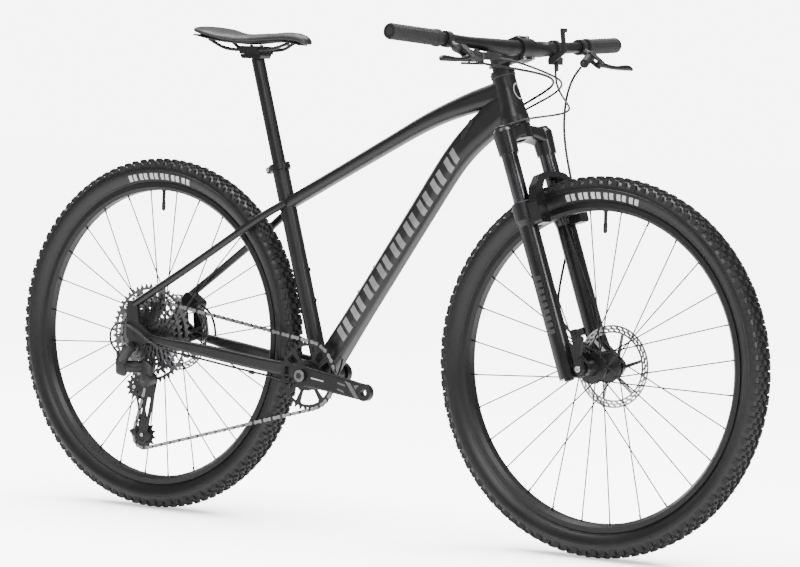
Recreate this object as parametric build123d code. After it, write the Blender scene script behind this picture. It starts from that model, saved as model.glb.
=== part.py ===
from build123d import *
import math
import os

# Hardtail mountain bike with 29 inch wheels, a 100 mm fork and a 1x12 drivetrain.
# Frame of reference: +X forward, +Y to the rider's left, +Z up, millimetres.
# The origin is on the ground, half way between the axles. The drive side is at -Y.

# ---- Driving dimensions ----------------------------------------------------
WHEELBASE = 1096
TYRE_R = 366
TYRE_HALF_WIDTH = 28
RIM_OUTER_R = 316
RIM_INNER_R = 299.5
RIM_HALF_WIDTH = 15
SPOKE_COUNT = 28
SPOKE_R = 1.0

HEAD_ANGLE = 70.0
HEAD_MID = Vector(317.5, 0, 874)
HEAD_HALF_LENGTH = 53
CROWN_RACE_Z = -57.5
SEAT_ANGLE = 73.4
BB = Vector(-118.5, 0, 308)
BB_HALF_WIDTH = 36.5
SEAT_TUBE_LENGTH = 440
SEAT_TUBE_R = 17
SEATPOST_R = 13.6

RIVET_NUT_DEPTH = 12

LEG_Y = 65.5
LEG_FORWARD = 9
STANCHION_R = 16
LOWER_R = 19
FORK_GAP = 110
LUG_WIDTH = 13

STEM_REACH = 60
BAR_HEIGHT = 82
BAR_HALF_WIDTH = 390
BAR_CLAMP_R = 15.9
BAR_GRIP_R = 11.1
GRIP_LENGTH = 136

CRANK_LENGTH = 170
CRANK_ANGLE = 7.3
RING_TEETH = 34
COG_TEETH = (11, 13, 15, 17, 19, 22, 25, 28, 32, 36, 42, 50)
COG_SPACING = 3.65
COG_INNER_Y = -30.0
DRIVEN_COG = 9
RING_Y = -50.0
PITCH = 12.7
GUIDE_TEETH = 12
TENSION_TEETH = 14
CHAIN_HALF_WIDTH = 2.6
CHAIN_INNER_HALF = 1.6
CHAIN_HALF_HEIGHT = 4.2
TOOTH_RISE = 3.4
TOOTH_HALF_WIDTH = 0.8
RING_HALF_WIDTH = 0.6

ROTOR_R = 80
FRONT_AXLE_R = 7.5
REAR_AXLE_R = 6.0
RUNNING = 0.05
HOSE_R = 2.5
CABLE_R = 2.2

# ---- Places worked out from the driving dimensions -------------------------
REAR_X = -WHEELBASE / 2
FRONT_X = WHEELBASE / 2
REAR_AXLE = Vector(REAR_X, 0, TYRE_R)
FRONT_AXLE = Vector(FRONT_X, 0, TYRE_R)

HEAD_COS = math.cos(math.radians(HEAD_ANGLE))
HEAD_SIN = math.sin(math.radians(HEAD_ANGLE))
HEAD_UP = Vector(-HEAD_COS, 0, HEAD_SIN)
HEAD_FORWARD = Vector(HEAD_SIN, 0, HEAD_COS)
HEAD = Plane(origin=HEAD_MID, x_dir=HEAD_FORWARD, z_dir=HEAD_UP)
SEAT_UP = Vector(-math.cos(math.radians(SEAT_ANGLE)), 0, math.sin(math.radians(SEAT_ANGLE)))
SEAT_ACROSS = Vector(SEAT_UP.Z, 0, -SEAT_UP.X)
SEAT = Plane(origin=BB, x_dir=SEAT_ACROSS, z_dir=SEAT_UP)

_axle = FRONT_AXLE - HEAD_MID
AXLE_FORWARD = _axle.dot(HEAD_FORWARD)
AXLE_DOWN = _axle.dot(HEAD_UP)
LOWERS_TOP = AXLE_DOWN + 339
SOCKET_BOTTOM = CROWN_RACE_Z - 60

HANGER_BOLT = Vector(-558, 0, 338)
GUIDE_PULLEY = Vector(-578, 0, 253)
TENSION_PULLEY = Vector(-554, 0, 154)
CAGE_PIVOT = Vector(-530, 0, 272)
COG_Y = COG_INNER_Y - (len(COG_TEETH) - 1 - DRIVEN_COG) * COG_SPACING
LINK_BACK = Vector(-570, -90, 298)
LINK_FRONT = Vector(-537, -64, 298)


# ---- Helpers ----------------------------------------------------------------
def turned(outline):
    """Closed outline of (radius, y) corners, turned about the Y axis."""
    face = make_face(Polyline(*outline, close=True))
    return revolve(face, Axis.Y)


def plate(sketch, y_low, y_high):
    """Sketch drawn in (X, Z), made solid from y_low to y_high."""
    return extrude(Plane.XZ.offset(-y_high) * sketch, amount=y_high - y_low)


def rod(start, end, radius):
    """Round bar between two points."""
    axis = Vector(*end) - Vector(*start)
    return extrude(Plane(origin=start, z_dir=axis) * Circle(radius), amount=axis.length)


def disc(centre, radius, y_low, y_high):
    """Round disc across the bike, centred on a point's X and Z."""
    return Pos(centre.X, 0, centre.Z) * plate(Circle(radius), y_low, y_high)


def lofted(stations):
    """Skin over (centre, direction, depth, width, corner) stations; depth lies in the XZ plane."""
    faces = []
    for centre, direction, depth, width, corner in stations:
        normal = Vector(*direction)
        section = Plane(origin=centre, x_dir=(-normal.Z, 0, normal.X), z_dir=normal)
        faces.append(section * RectangleRounded(depth, width, corner))
    return loft(faces)


def corner_radii(points, share=0.45):
    """Largest arc that each inner corner's two runs leave room for."""
    radii = []
    for before, corner, after in zip(points, points[1:], points[2:]):
        run_in = corner - before
        run_out = after - corner
        half_turn = math.radians(run_in.get_angle(run_out)) / 2
        radii.append(share * min(run_in.length, run_out.length) / math.tan(half_turn))
    return radii


def smooth_path(points):
    """Straight runs joined by tangent arcs, with the corner radii it used."""
    corners = [Vector(*p) for p in points]
    radii = corner_radii(corners)
    return FilletPolyline(*corners, radius=radii), radii


def hose(name, points, radius):
    """Round hose along a route; prints its tightest bend and checks its volume."""
    path, radii = smooth_path(points)
    tube = sweep(Plane(origin=path @ 0, z_dir=path % 0) * Circle(radius), path=path)
    expected = math.pi * radius ** 2 * path.length
    print(f"{name}: length {path.length:.0f}, radii {[round(r) for r in radii]}, "
          f"volume ratio {tube.volume / expected:.3f}")
    return tube


def bar_tube(points, radius):
    """Bent round bar along a route."""
    path, _ = smooth_path(points)
    return sweep(Plane(origin=path @ 0, z_dir=path % 0) * Circle(radius), path=path)


def mirrored(shape):
    """The same shape on the other side of the bike."""
    return mirror(shape, Plane.XZ)


def pitch_radius(teeth):
    """Radius of the circle through the chain's pins on a sprocket."""
    return PITCH / (2 * math.sin(math.pi / teeth))


# ---- Wheels -------------------------------------------------------------------
def tyre_skin(crown_r, shoulder_r, half, belly_r, foot_half):
    """Solid of revolution under one closed curve from bead to bead."""
    bead = RIM_OUTER_R - 5
    outline = [
        Line((bead, -foot_half), (bead, foot_half)),
        Line((bead, foot_half), (RIM_OUTER_R + 2, foot_half)),
        ThreePointArc((RIM_OUTER_R + 2, foot_half), (belly_r, half - 1), (shoulder_r, half)),
        ThreePointArc((shoulder_r, half), (crown_r, 0), (shoulder_r, -half)),
        ThreePointArc((shoulder_r, -half), (belly_r, 1 - half), (RIM_OUTER_R + 2, -foot_half)),
        Line((RIM_OUTER_R + 2, -foot_half), (bead, -foot_half)),
    ]
    return revolve(make_face(outline), Axis.Y)


def tyre():
    """Hollow tyre: beads in the rim, round sidewalls and a flat-crowned tread."""
    wall = 2.6
    tread = 7
    outside = tyre_skin(TYRE_R, TYRE_R - 14, TYRE_HALF_WIDTH, 335, RIM_HALF_WIDTH - 2.4)
    inside = tyre_skin(TYRE_R - tread, TYRE_R - 18, TYRE_HALF_WIDTH - wall, 336, RIM_HALF_WIDTH - 6)
    return outside - inside


def rim():
    """Channel rim: a trough for the beads over a narrow inner edge."""
    half = RIM_HALF_WIDTH
    lip = half - 2
    outline = [
        (RIM_OUTER_R, half), (RIM_OUTER_R, lip), (307, lip), (302, 8), (302, -8), (307, -lip),
        (RIM_OUTER_R, -lip), (RIM_OUTER_R, -half), (306, -half), (RIM_INNER_R, -9),
        (RIM_INNER_R, 9), (306, half),
    ]
    return turned(outline)


def spokes(left_flange, right_flange):
    """Two-cross lacing: each flange's spokes leave it leading and trailing by turns."""
    per_side = SPOKE_COUNT // 2
    step = 2 * math.pi / per_side
    hole_r = 27
    tip_r = RIM_INNER_R + 1.5
    lace = 2.0 * step
    bars = []
    for side, flange_y in ((1, left_flange), (-1, right_flange)):
        for index in range(per_side):
            way = 1 if index % 2 else -1
            rim_angle = (index + 0.25 * side) * step
            hub_angle = rim_angle + way * lace
            head_y = flange_y + way * 2.7
            head = (hole_r * math.cos(hub_angle), head_y, hole_r * math.sin(hub_angle))
            tip = (tip_r * math.cos(rim_angle), side * 2.5, tip_r * math.sin(rim_angle))
            bars.append(rod(head, tip, SPOKE_R))
    return Compound(bars)


def rotor(y_mid):
    """Brake disc: drilled track on six swept arms around a bolted centre."""
    arm = make_face(Polyline((24, -4), (68, 13), (68, 19), (24, 4), close=True))
    sketch = Circle(ROTOR_R) - Circle(65)
    sketch += Circle(26) - Circle(17.5)
    for index in range(6):
        sketch += Rot(Z=60 * index) * arm
    for index in range(36):
        sketch -= Rot(Z=10 * index) * Pos(75.2, 0) * Rot(Z=78) * SlotOverall(9, 2.6)
        sketch -= Rot(Z=10 * index + 5) * Pos(69.8, 0) * Rot(Z=78) * SlotOverall(9, 2.6)
    for index in range(6):
        sketch -= Rot(Z=60 * index + 30) * Pos(22, 0) * Circle(2.6)
    return plate(sketch, y_mid - 0.9, y_mid + 0.9)


# ---- Frame ---------------------------------------------------------------------
def head_envelope(gap):
    """Solid body of the head tube's outside, used to cope the tubes that meet it."""
    outline = [
        (0, -HEAD_HALF_LENGTH), (28.5 + gap, -HEAD_HALF_LENGTH), (28.5 + gap, -40),
        (25.5 + gap, -22), (23 + gap, 20), (23 + gap, 43), (24.5 + gap, 45),
        (24.5 + gap, HEAD_HALF_LENGTH), (0, HEAD_HALF_LENGTH),
    ]
    face = make_face(Plane.XZ * Polyline(*outline, close=True))
    return HEAD.location * revolve(face, Axis.Z)


def head_tube():
    """Tapered head tube with a bearing seat at each end."""
    hollow = Cylinder(20.5, 2 * HEAD_HALF_LENGTH + 2)
    top_seat = Pos(0, 0, HEAD_HALF_LENGTH - 5) * Cylinder(21, 10.2)
    low_seat = Pos(0, 0, 5 - HEAD_HALF_LENGTH) * Cylinder(26.2, 10.2)
    return head_envelope(0) - HEAD.location * (hollow + top_seat + low_seat)


def headset_cups():
    """The two bearing rings pressed into the head tube."""
    upper = Cylinder(20.95, 9.8) - Cylinder(14.3 + RUNNING, 12)
    lower = Cylinder(26.15, 9.8) - Cylinder(19.9 + RUNNING, 12)
    upper = HEAD.location * Pos(0, 0, HEAD_HALF_LENGTH - 5) * upper
    lower = HEAD.location * Pos(0, 0, 5 - HEAD_HALF_LENGTH) * lower
    return [upper, lower]


def bottom_bracket_cups():
    """The two outboard bearing cups of the crank."""
    cups = []
    for side in (1, -1):
        outside = side * (BB_HALF_WIDTH + 5)
        cup = turned([(14.45 + RUNNING, outside - 4.8), (22, outside - 4.8), (22, outside + 4.8),
                      (14.45 + RUNNING, outside + 4.8)])
        cups.append(Pos(BB.X, 0, BB.Z) * cup)
    return cups


def bb_envelope(radius):
    return disc(BB, radius, -BB_HALF_WIDTH, BB_HALF_WIDTH)


def bottom_bracket_shell():
    return bb_envelope(23) - disc(BB, 18, -60, 60)


def seat_envelope(radius):
    return SEAT.location * extrude(Circle(radius), amount=SEAT_TUBE_LENGTH)


def boss(point, direction, depth=6, radius=5.5):
    """Round threaded boss for an M5 bottle-cage bolt, standing on a tube."""
    start = Vector(*point) - Vector(*direction) * depth
    return rod(start, Vector(*point), radius)


def boss_hole(point, direction):
    start = Vector(*point) - Vector(*direction) * (RIVET_NUT_DEPTH + 1)
    return rod(start, Vector(*point) + Vector(*direction), 2.1)


def seat_tube():
    """Seat tube with a seatpost bore and two bottle bosses on its front."""
    body = SEAT.location * Pos(0, 0, 4) * extrude(Circle(SEAT_TUBE_R), amount=SEAT_TUBE_LENGTH - 4)
    for point in seat_boss_points():
        body += boss(point, SEAT_ACROSS)
    body -= SEAT.location * extrude(Circle(SEATPOST_R + RUNNING), amount=SEAT_TUBE_LENGTH + 1)
    body -= SEAT.location * Pos(-SEAT_TUBE_R, 0, SEAT_TUBE_LENGTH - 14) * Box(10, 1.5, 30)
    for point in seat_boss_points():
        body -= boss_hole(point, SEAT_ACROSS)
    return body - bb_envelope(23.05)


def seat_boss_points():
    outside = SEAT_TUBE_R + 2
    return [BB + SEAT_UP * height + SEAT_ACROSS * outside for height in (150, 214)]


DOWN_DIRECTION = Vector(207.5, 0, 292.5).normalized()
DOWN_NORMAL = Vector(-DOWN_DIRECTION.Z, 0, DOWN_DIRECTION.X)


def down_boss_points():
    start = BB + DOWN_DIRECTION * 190 + DOWN_NORMAL * 28.6
    return [start, start + DOWN_DIRECTION * 64]


def stations_along(route, sizes, wall, count):
    """Evenly spaced sections along a smooth route; sizes are (share, depth, width, corner)."""
    path, _ = smooth_path(route)
    stations = []
    for index in range(count):
        share = index / (count - 1)
        upper = next(k for k in range(1, len(sizes)) if share <= sizes[k][0])
        low = sizes[upper - 1]
        high = sizes[upper]
        part = (share - low[0]) / (high[0] - low[0])
        depth, width, corner = [low[k] + (high[k] - low[k]) * part for k in (1, 2, 3)]
        stations.append((path @ share, path % share, depth - 2 * wall, width - 2 * wall, corner - wall))
    return stations


def down_stations(wall):
    """Sections up the down tube; wall is taken off all round for the inside."""
    route = [BB, (204.5, 0, 768.5), (297, 0, 847.5), (330, 0, 861)]
    sizes = [(0, 50, 54, 17), (0.2, 47, 48, 17), (0.5, 47, 47, 17), (0.74, 49, 46, 17),
             (0.9, 58, 45, 17), (1, 66, 44, 16)]
    return stations_along(route, sizes, wall, 14)


def down_tube():
    """Hydroformed down tube that sweeps forward and deepens towards the head."""
    body = lofted(down_stations(0)) - lofted(down_stations(2.5))
    for point in down_boss_points():
        body += boss(point, DOWN_NORMAL, RIVET_NUT_DEPTH)
        body -= boss_hole(point, DOWN_NORMAL)
    below_head = HEAD.location * upright(34, -140, -HEAD_HALF_LENGTH - 0.05)
    return body - head_envelope(0.05) - below_head - bb_envelope(23.05) - seat_envelope(SEAT_TUBE_R + 0.05)


def top_stations(wall):
    """Sections up the top tube; wall is taken off all round for the inside."""
    route = [(-212, 0, 652), (154, 0, 840), (305, 0, 888)]
    sizes = [(0, 25, 32, 11), (0.3, 25, 35, 12), (0.55, 27, 38, 13), (0.7, 31, 40, 14),
             (0.87, 40, 42, 15), (1, 48, 42, 15)]
    return stations_along(route, sizes, wall, 12)


def top_tube():
    """Top tube that runs straight up from the seat tube and levels off near the head."""
    outside = lofted(top_stations(0))
    inside = lofted(top_stations(2.5))
    body = outside - inside - head_envelope(0.05) - seat_envelope(SEAT_TUBE_R + 0.05)
    body -= lofted(down_stations(-0.05))
    return body.solids().sort_by(SortBy.VOLUME)[-1]


def chainstay():
    """Right chainstay: tall at the bottom bracket, passing between tyre and chainring."""
    stations = [
        (Vector(-118, -27, 308), (-0.99, 0, 0.14), 30, 12, 5.5),
        (Vector(-146, -28.5, 311.5), (-0.99, -0.08, 0.14), 30, 12, 5.5),
        (Vector(-200, -38.5, 318), (-0.98, -0.15, 0.14), 29, 13.5, 6),
        (Vector(-300, -53, 331), (-0.98, -0.12, 0.14), 28, 15, 6.5),
        (Vector(-410, -66, 346), (-0.98, -0.10, 0.14), 24, 14, 6),
        (Vector(-518, -76, 361), (-0.98, -0.06, 0.14), 18, 10, 4.5),
    ]
    return lofted(stations) - bb_envelope(23.05)


def seatstay():
    """Right seatstay: leaves the seat cluster, bows round the tyre and drops to the axle."""
    route = [(-216, -14, 651), (-244, -30, 632), (-292, -42, 600), (-420, -58, 515), (-556, -77, 428)]
    stay = bar_tube(route, 8)
    return stay - seat_envelope(SEAT_TUBE_R + 0.05)


def dropout_outline():
    """Outline of the dropout plate between chainstay and seatstay ends."""
    return [(-572, 436), (-546, 434), (-538, 388), (-514, 371), (-512, 352), (-536, 344), (-560, 348),
            (-572, 362)]


def dropout(side):
    """Dropout plate; the right one carries the derailleur hanger."""
    inner = 74
    outer = 82
    outline = make_face(Polyline(*dropout_outline(), close=True))
    outline = fillet(outline.vertices(), 5)
    low, high = (inner, outer) if side > 0 else (-outer, -inner)
    body = plate(outline, low, high)
    if side < 0:
        hanger = make_hull((Pos(HANGER_BOLT.X, HANGER_BOLT.Z) * Circle(10)
                            + Pos(-552, 356) * Circle(10)).edges())
        body += plate(hanger, -outer, -outer + 6)
        body -= disc(HANGER_BOLT, 5 + RUNNING, -90, -70)
    body -= disc(REAR_AXLE, REAR_AXLE_R + RUNNING, -90, 90)
    return body


def seat_clamp():
    """Collar round the top of the seat tube, with its bolt ears behind."""
    low = SEAT_TUBE_LENGTH - 13
    ring = Circle(SEAT_TUBE_R + 4.5) - Circle(SEAT_TUBE_R + 0.1)
    ears = Pos(-SEAT_TUBE_R - 8, 0) * Rectangle(12, 14)
    ears -= Circle(SEAT_TUBE_R + 0.1)
    slit = Pos(-SEAT_TUBE_R - 8, 0) * Rectangle(20, 2)
    body = extrude(ring + ears - slit, amount=13)
    body -= Pos(-SEAT_TUBE_R - 9, 0, 6.5) * Rot(X=90) * Cylinder(2.6, 40)
    return SEAT.location * Pos(0, 0, low) * body


def rear_axle():
    """Thru-axle with a flat head on the left."""
    return disc(REAR_AXLE, REAR_AXLE_R, -81.5, 83) + disc(REAR_AXLE, 9.5, 82.05, 86)


# ---- Seatpost and saddle -------------------------------------------------------
POST_TOP = 664
CLAMP_CENTRE = BB + SEAT_UP * 678


def seatpost():
    """Tubular seatpost with a forged head under the rail clamp."""
    low = POST_TOP - 350
    tube = SEAT.location * Pos(0, 0, low) * extrude(Circle(SEATPOST_R) - Circle(SEATPOST_R - 2),
                                                    amount=350)
    head = plate(make_face(Polyline((-24, -9), (22, -9), (26, -3), (26, 0), (-28, 0), (-28, -4),
                                    close=True)), -17, 17)
    neck = SEAT.location * Pos(0, 0, POST_TOP - 30) * extrude(Circle(SEATPOST_R), amount=30)
    head = Pos(CLAMP_CENTRE.X, 0, CLAMP_CENTRE.Z - 5) * head
    return tube + neck + head


def rail_clamp():
    """Lower cradle and upper cap that hold the saddle rails."""
    outline = Pos(0, 0) * Rectangle(46, 16)
    block = plate(outline, -27, 27)
    block = Pos(CLAMP_CENTRE.X, 0, CLAMP_CENTRE.Z + 3.2) * block
    for side in (1, -1):
        block -= rod((CLAMP_CENTRE.X - 40, side * 22, CLAMP_CENTRE.Z + 3.2),
                     (CLAMP_CENTRE.X + 40, side * 22, CLAMP_CENTRE.Z + 3.2), 3.55)
    return block


def saddle_rails():
    """Two bent steel rails from the nose to the rear of the shell."""
    rails = []
    z = CLAMP_CENTRE.Z + 3.2
    x = CLAMP_CENTRE.X
    for side in (1, -1):
        route = [(x + 90, side * 8, z + 15), (x + 60, side * 18, z + 3), (x + 36, side * 22, z),
                 (x - 42, side * 22, z + 0.01), (x - 66, side * 27, z + 4), (x - 96, side * 36, z + 21)]
        rails.append(bar_tube(route, 3.5))
    return Compound(rails)


SADDLE_STATIONS = (
    # x from the clamp, half width, top height and thickness of the padding
    (138, 15, 14, 15), (120, 19, 22, 20), (80, 21, 27, 19), (20, 27, 24, 18), (-40, 46, 23, 18),
    (-90, 68, 32, 18), (-118, 66, 36, 17), (-127, 58, 36, 13),
)


def saddle_cover():
    """Skin through the padding's cross-sections."""
    faces = []
    for x, half, top, depth in SADDLE_STATIONS:
        centre_z = CLAMP_CENTRE.Z + 15 + top - depth / 2
        section = Plane(origin=(CLAMP_CENTRE.X + x, 0, centre_z), x_dir=(0, 1, 0), z_dir=(1, 0, 0))
        faces.append(section * RectangleRounded(2 * half, depth, depth * 0.45))
    return loft(faces)


def saddle_shell():
    """Thin moulded base under the padding."""
    faces = []
    for x, half, top, thick in SADDLE_STATIONS[1:-1]:
        centre_z = CLAMP_CENTRE.Z + 15 + top - thick - 2.0
        section = Plane(origin=(CLAMP_CENTRE.X + x, 0, centre_z), x_dir=(0, 1, 0), z_dir=(1, 0, 0))
        faces.append(section * RectangleRounded(2 * half - 8, 3.2, 1.4))
    return loft(faces) - saddle_cover()


# ---- Fork ------------------------------------------------------------------------
def on_head(shape):
    """Move a shape drawn about the steering axis into the bike."""
    return HEAD.location * shape


def upright(radius, low, high):
    """Round bar along the steering direction."""
    return Pos(0, 0, low) * extrude(Circle(radius), amount=high - low)


def upward_cone(low_r, high_r, height):
    """Tapered round bar standing on its lower end."""
    return Cone(low_r, high_r, height, align=(Align.CENTER, Align.CENTER, Align.MIN))


def fork_crown():
    """Forged crown with its pressed steerer and two leg sockets."""
    steerer = make_face(Plane.XZ * Polyline(
        (11.5, -70), (19.9, -70), (19.9, -42), (14.3, -30), (14.3, 99), (11.5, 99), close=True))
    body = revolve(steerer, Axis.Z)
    body += upright(27, -86, CROWN_RACE_Z + 0.5) - upright(11.5, -90, -50)
    for side in (1, -1):
        socket = Pos(LEG_FORWARD, side * LEG_Y, 0)
        shoulders = [
            Plane(origin=(2, side * 12, -72), x_dir=(1, 0, 0), z_dir=(0, side, 0.25))
            * RectangleRounded(44, 27, 9),
            Plane(origin=(7, side * 48, -78), x_dir=(1, 0, 0), z_dir=(0, side, -0.35))
            * RectangleRounded(38, 30, 10),
            Plane(origin=(LEG_FORWARD, side * LEG_Y, -84), x_dir=(1, 0, 0), z_dir=(0, side, -0.5))
            * RectangleRounded(36, 34, 10),
        ]
        body += loft(shoulders) - upright(11.5, -100, -50)
        body += socket * Pos(0, 0, SOCKET_BOTTOM) * upward_cone(19.5, 21.5, 45)
        body += socket * Pos(0, 0, SOCKET_BOTTOM + 45) * upward_cone(21.5, 18, 6)
    for side in (1, -1):
        body -= Pos(LEG_FORWARD, side * LEG_Y, 0) * upright(STANCHION_R + 0.02, -130, -62)
    body -= upright(11.5, -100, 100)
    return on_head(body)


def fork_stanchions():
    """The two upper tubes, pressed into the crown."""
    tubes = []
    for side in (1, -1):
        tube = upright(STANCHION_R, LOWERS_TOP - 170, -64) - upright(13.5, LOWERS_TOP - 171, -70)
        tubes.append(on_head(Pos(LEG_FORWARD, side * LEG_Y, 0) * tube))
    return Compound(tubes)


def fork_arch():
    """Brace in front of the legs, over the tyre."""
    top = LOWERS_TOP + 47
    outside = Polyline((-83, LOWERS_TOP - 50), (-83, LOWERS_TOP - 6), (-71, top - 22), (-44, top + 1),
                       (-22, top + 5), (22, top + 5), (44, top + 1), (71, top - 22),
                       (83, LOWERS_TOP - 6), (83, LOWERS_TOP - 50), close=True)
    inside = Polyline((-52, LOWERS_TOP - 60), (-52, LOWERS_TOP - 20), (-49, top - 28), (-36, top - 12),
                      (-18, top - 7), (18, top - 7), (36, top - 12), (49, top - 28),
                      (52, LOWERS_TOP - 20), (52, LOWERS_TOP - 60), close=True)
    outer_face = fillet(make_face(outside).vertices(), 7)
    inner_face = fillet(make_face(inside).vertices(), 7)
    band = Plane.YZ * (outer_face - inner_face)
    return Pos(35, 0, 0) * extrude(band, amount=18)


def fork_lug(side, gap=0):
    """Dropout lug that carries the axle ahead of one leg, grown by a gap on request."""
    outline = make_hull((Pos(AXLE_FORWARD, AXLE_DOWN) * Circle(15 + gap)
                         + Pos(LEG_FORWARD, AXLE_DOWN + 8) * Circle(17 + gap)
                         + Pos(LEG_FORWARD + 12, AXLE_DOWN + 52) * Circle(7 + gap)).edges())
    low, high = sorted((side * (FORK_GAP / 2 - gap), side * (FORK_GAP / 2 + LUG_WIDTH + gap)))
    return plate(outline, low, high)


def fork_lowers():
    """Cast lowers: two legs, the arch in front and the dropouts ahead of the legs."""
    leg_low = AXLE_DOWN - 9
    body = fork_arch()
    for side in (1, -1):
        leg = Pos(LEG_FORWARD, side * LEG_Y, 0)
        body += leg * upright(LOWER_R, leg_low, LOWERS_TOP - 45)
        body += leg * Pos(0, 0, LOWERS_TOP - 45) * upward_cone(LOWER_R, LOWER_R + 3, 12)
        body += leg * upright(LOWER_R + 3, LOWERS_TOP - 33, LOWERS_TOP)
        web = Pos(LEG_FORWARD + 18, side * (LEG_Y + 1), LOWERS_TOP - 26) * Box(30, 24, 44)
        body += fillet(web.edges().filter_by(Axis.Z), 9)
        body += fork_lug(side)
    for post in caliper_posts():
        body += post
    for side in (1, -1):
        leg = Pos(LEG_FORWARD, side * LEG_Y, 0)
        body -= leg * upright(STANCHION_R + RUNNING, leg_low + 60, LOWERS_TOP + 1)
        body -= leg * upright(11, leg_low + 14, leg_low + 60)
    body -= Pos(AXLE_FORWARD, 0, AXLE_DOWN) * plate(Circle(FRONT_AXLE_R + RUNNING), -90, 90)
    return on_head(body)


def front_axle():
    """Thru-axle of the fork."""
    return disc(FRONT_AXLE, FRONT_AXLE_R, -68.5, 68)


def front_axle_lever():
    """Cam lever on the drive side that winds the thru-axle in and out."""
    pivot = disc(Vector(0, 0, 0), 10.5, -80, -68.8)
    blade = make_hull((Pos(0, 2) * Circle(10) + Pos(-4, 26) * Circle(8)).edges())
    tip = make_hull((Pos(-4, 26) * Circle(8) + Pos(2, 56) * Circle(6.5)).edges())
    body = pivot + plate(blade, -79.5, -71.5) + plate(tip, -82, -75)
    return Pos(FRONT_X, 0, TYRE_R) * body


# ---- Cockpit -----------------------------------------------------------------------
BAR_CENTRE = HEAD_MID + HEAD_FORWARD * STEM_REACH + HEAD_UP * BAR_HEIGHT
BAR_KNEE_Y = 50
BAR_END_X = -37
BAR_END_Z = 19.5


def bar_point(y, forward=0, up=0):
    """Point on the bar's centre line at a given Y, with an offset."""
    share = max(0, (abs(y) - BAR_KNEE_Y) / (BAR_HALF_WIDTH - BAR_KNEE_Y))
    return Vector(BAR_CENTRE.X + BAR_END_X * share + forward, y, BAR_CENTRE.Z + BAR_END_Z * share + up)


def bar_direction(side):
    return (bar_point(side * BAR_HALF_WIDTH) - bar_point(side * BAR_KNEE_Y)).normalized()


def along_bar(y, shape):
    """Place a shape drawn along Z so that it is strung on the bar, Z pointing outwards."""
    side = 1 if y > 0 else -1
    return Plane(origin=bar_point(y), x_dir=(1, 0, 0.1), z_dir=bar_direction(side)).location * shape


def bar_body(shrink):
    """Outside or inside of the bar: thick at the clamp, tapering to the grips."""
    clamp_r = BAR_CLAMP_R - shrink
    grip_r = BAR_GRIP_R - shrink
    body = disc(BAR_CENTRE, clamp_r, -BAR_KNEE_Y, BAR_KNEE_Y)
    for side in (1, -1):
        length = (bar_point(side * BAR_HALF_WIDTH) - bar_point(side * BAR_KNEE_Y)).length
        frame = Plane(origin=bar_point(side * BAR_KNEE_Y), z_dir=bar_direction(side))
        taper = make_face(Plane.XZ * Polyline(
            (0, 0), (clamp_r, 0), (clamp_r, 6), (grip_r, 115), (grip_r, length), (0, length), close=True))
        body += frame.location * revolve(taper, Axis.Z)
        body += Pos(*bar_point(side * BAR_KNEE_Y)) * Sphere(clamp_r)
    return body


def handlebar():
    return bar_body(0) - bar_body(2)


def grips():
    """Closed-ended rubber grips with a collar at the inner end."""
    pair = []
    inner_y = BAR_HALF_WIDTH - GRIP_LENGTH
    for side in (1, -1):
        sleeve = extrude(Circle(15.5), amount=GRIP_LENGTH + 1)
        collar = extrude(Circle(17), amount=9)
        reach = (bar_point(BAR_HALF_WIDTH) - bar_point(inner_y)).length
        bore = extrude(Circle(BAR_GRIP_R + 0.02), amount=reach + 0.1)
        sleeve = sleeve + collar - bore
        pair.append(along_bar(side * inner_y, sleeve))
    return Compound(pair)


def stem():
    """Stem body clamped on the steerer, and the faceplate that holds the bar."""
    clamp = upright(17.5, 60, 99)
    neck = loft([
        Plane(origin=(10, 0, 79.5), x_dir=(0, 1, 0), z_dir=(1, 0, 0)) * RectangleRounded(32, 34, 10),
        Plane(origin=(STEM_REACH - 15, 0, BAR_HEIGHT), x_dir=(0, 1, 0), z_dir=(1, 0, 0))
        * RectangleRounded(40, 36, 8),
    ])
    ring = Pos(STEM_REACH, 0, BAR_HEIGHT) * plate(Circle(20.5), -22, 22)
    ring += Pos(STEM_REACH, 0, BAR_HEIGHT) * plate(Pos(-4, 0) * Rectangle(22, 48), -22, 22)
    ring -= Pos(STEM_REACH, 0, BAR_HEIGHT) * plate(Rectangle(80, 80) - Circle(26), -7, 7)
    back = Pos(STEM_REACH - 41, 0, BAR_HEIGHT) * Box(80, 60, 70)
    front = Pos(STEM_REACH + 41, 0, BAR_HEIGHT) * Box(80, 60, 70)
    bar_hole = Pos(STEM_REACH, 0, BAR_HEIGHT) * plate(Circle(BAR_CLAMP_R + 0.02), -30, 30)
    rear_half = clamp + neck + (ring & back) - bar_hole - upright(14.32, 50, 110)
    rear_half -= Pos(-18, 0, 80) * Box(16, 1.6, 60)
    plate_half = (ring & front) - bar_hole
    return Compound([on_head(rear_half), *[on_head(s) for s in plate_half.solids()]])


def headset_spacers():
    """Dust cover, one spacer and the top cap on the steerer."""
    cover = upright(22.5, HEAD_HALF_LENGTH + 0.3, HEAD_HALF_LENGTH + 4)
    spacer = upright(17, HEAD_HALF_LENGTH + 4.05, 59.95)
    bore = upright(14.32, 50, 70)
    cap = upright(16.5, 99.1, 103.5)
    return Compound([on_head(cover - bore), on_head(spacer - bore), on_head(cap)])


def clamp_band(y, width, thickness=4):
    """Band clamp round the bar."""
    ring = extrude(Circle(BAR_GRIP_R + 0.7 + thickness) - Circle(BAR_GRIP_R + 0.7), amount=width)
    return along_bar(y, ring)


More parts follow.
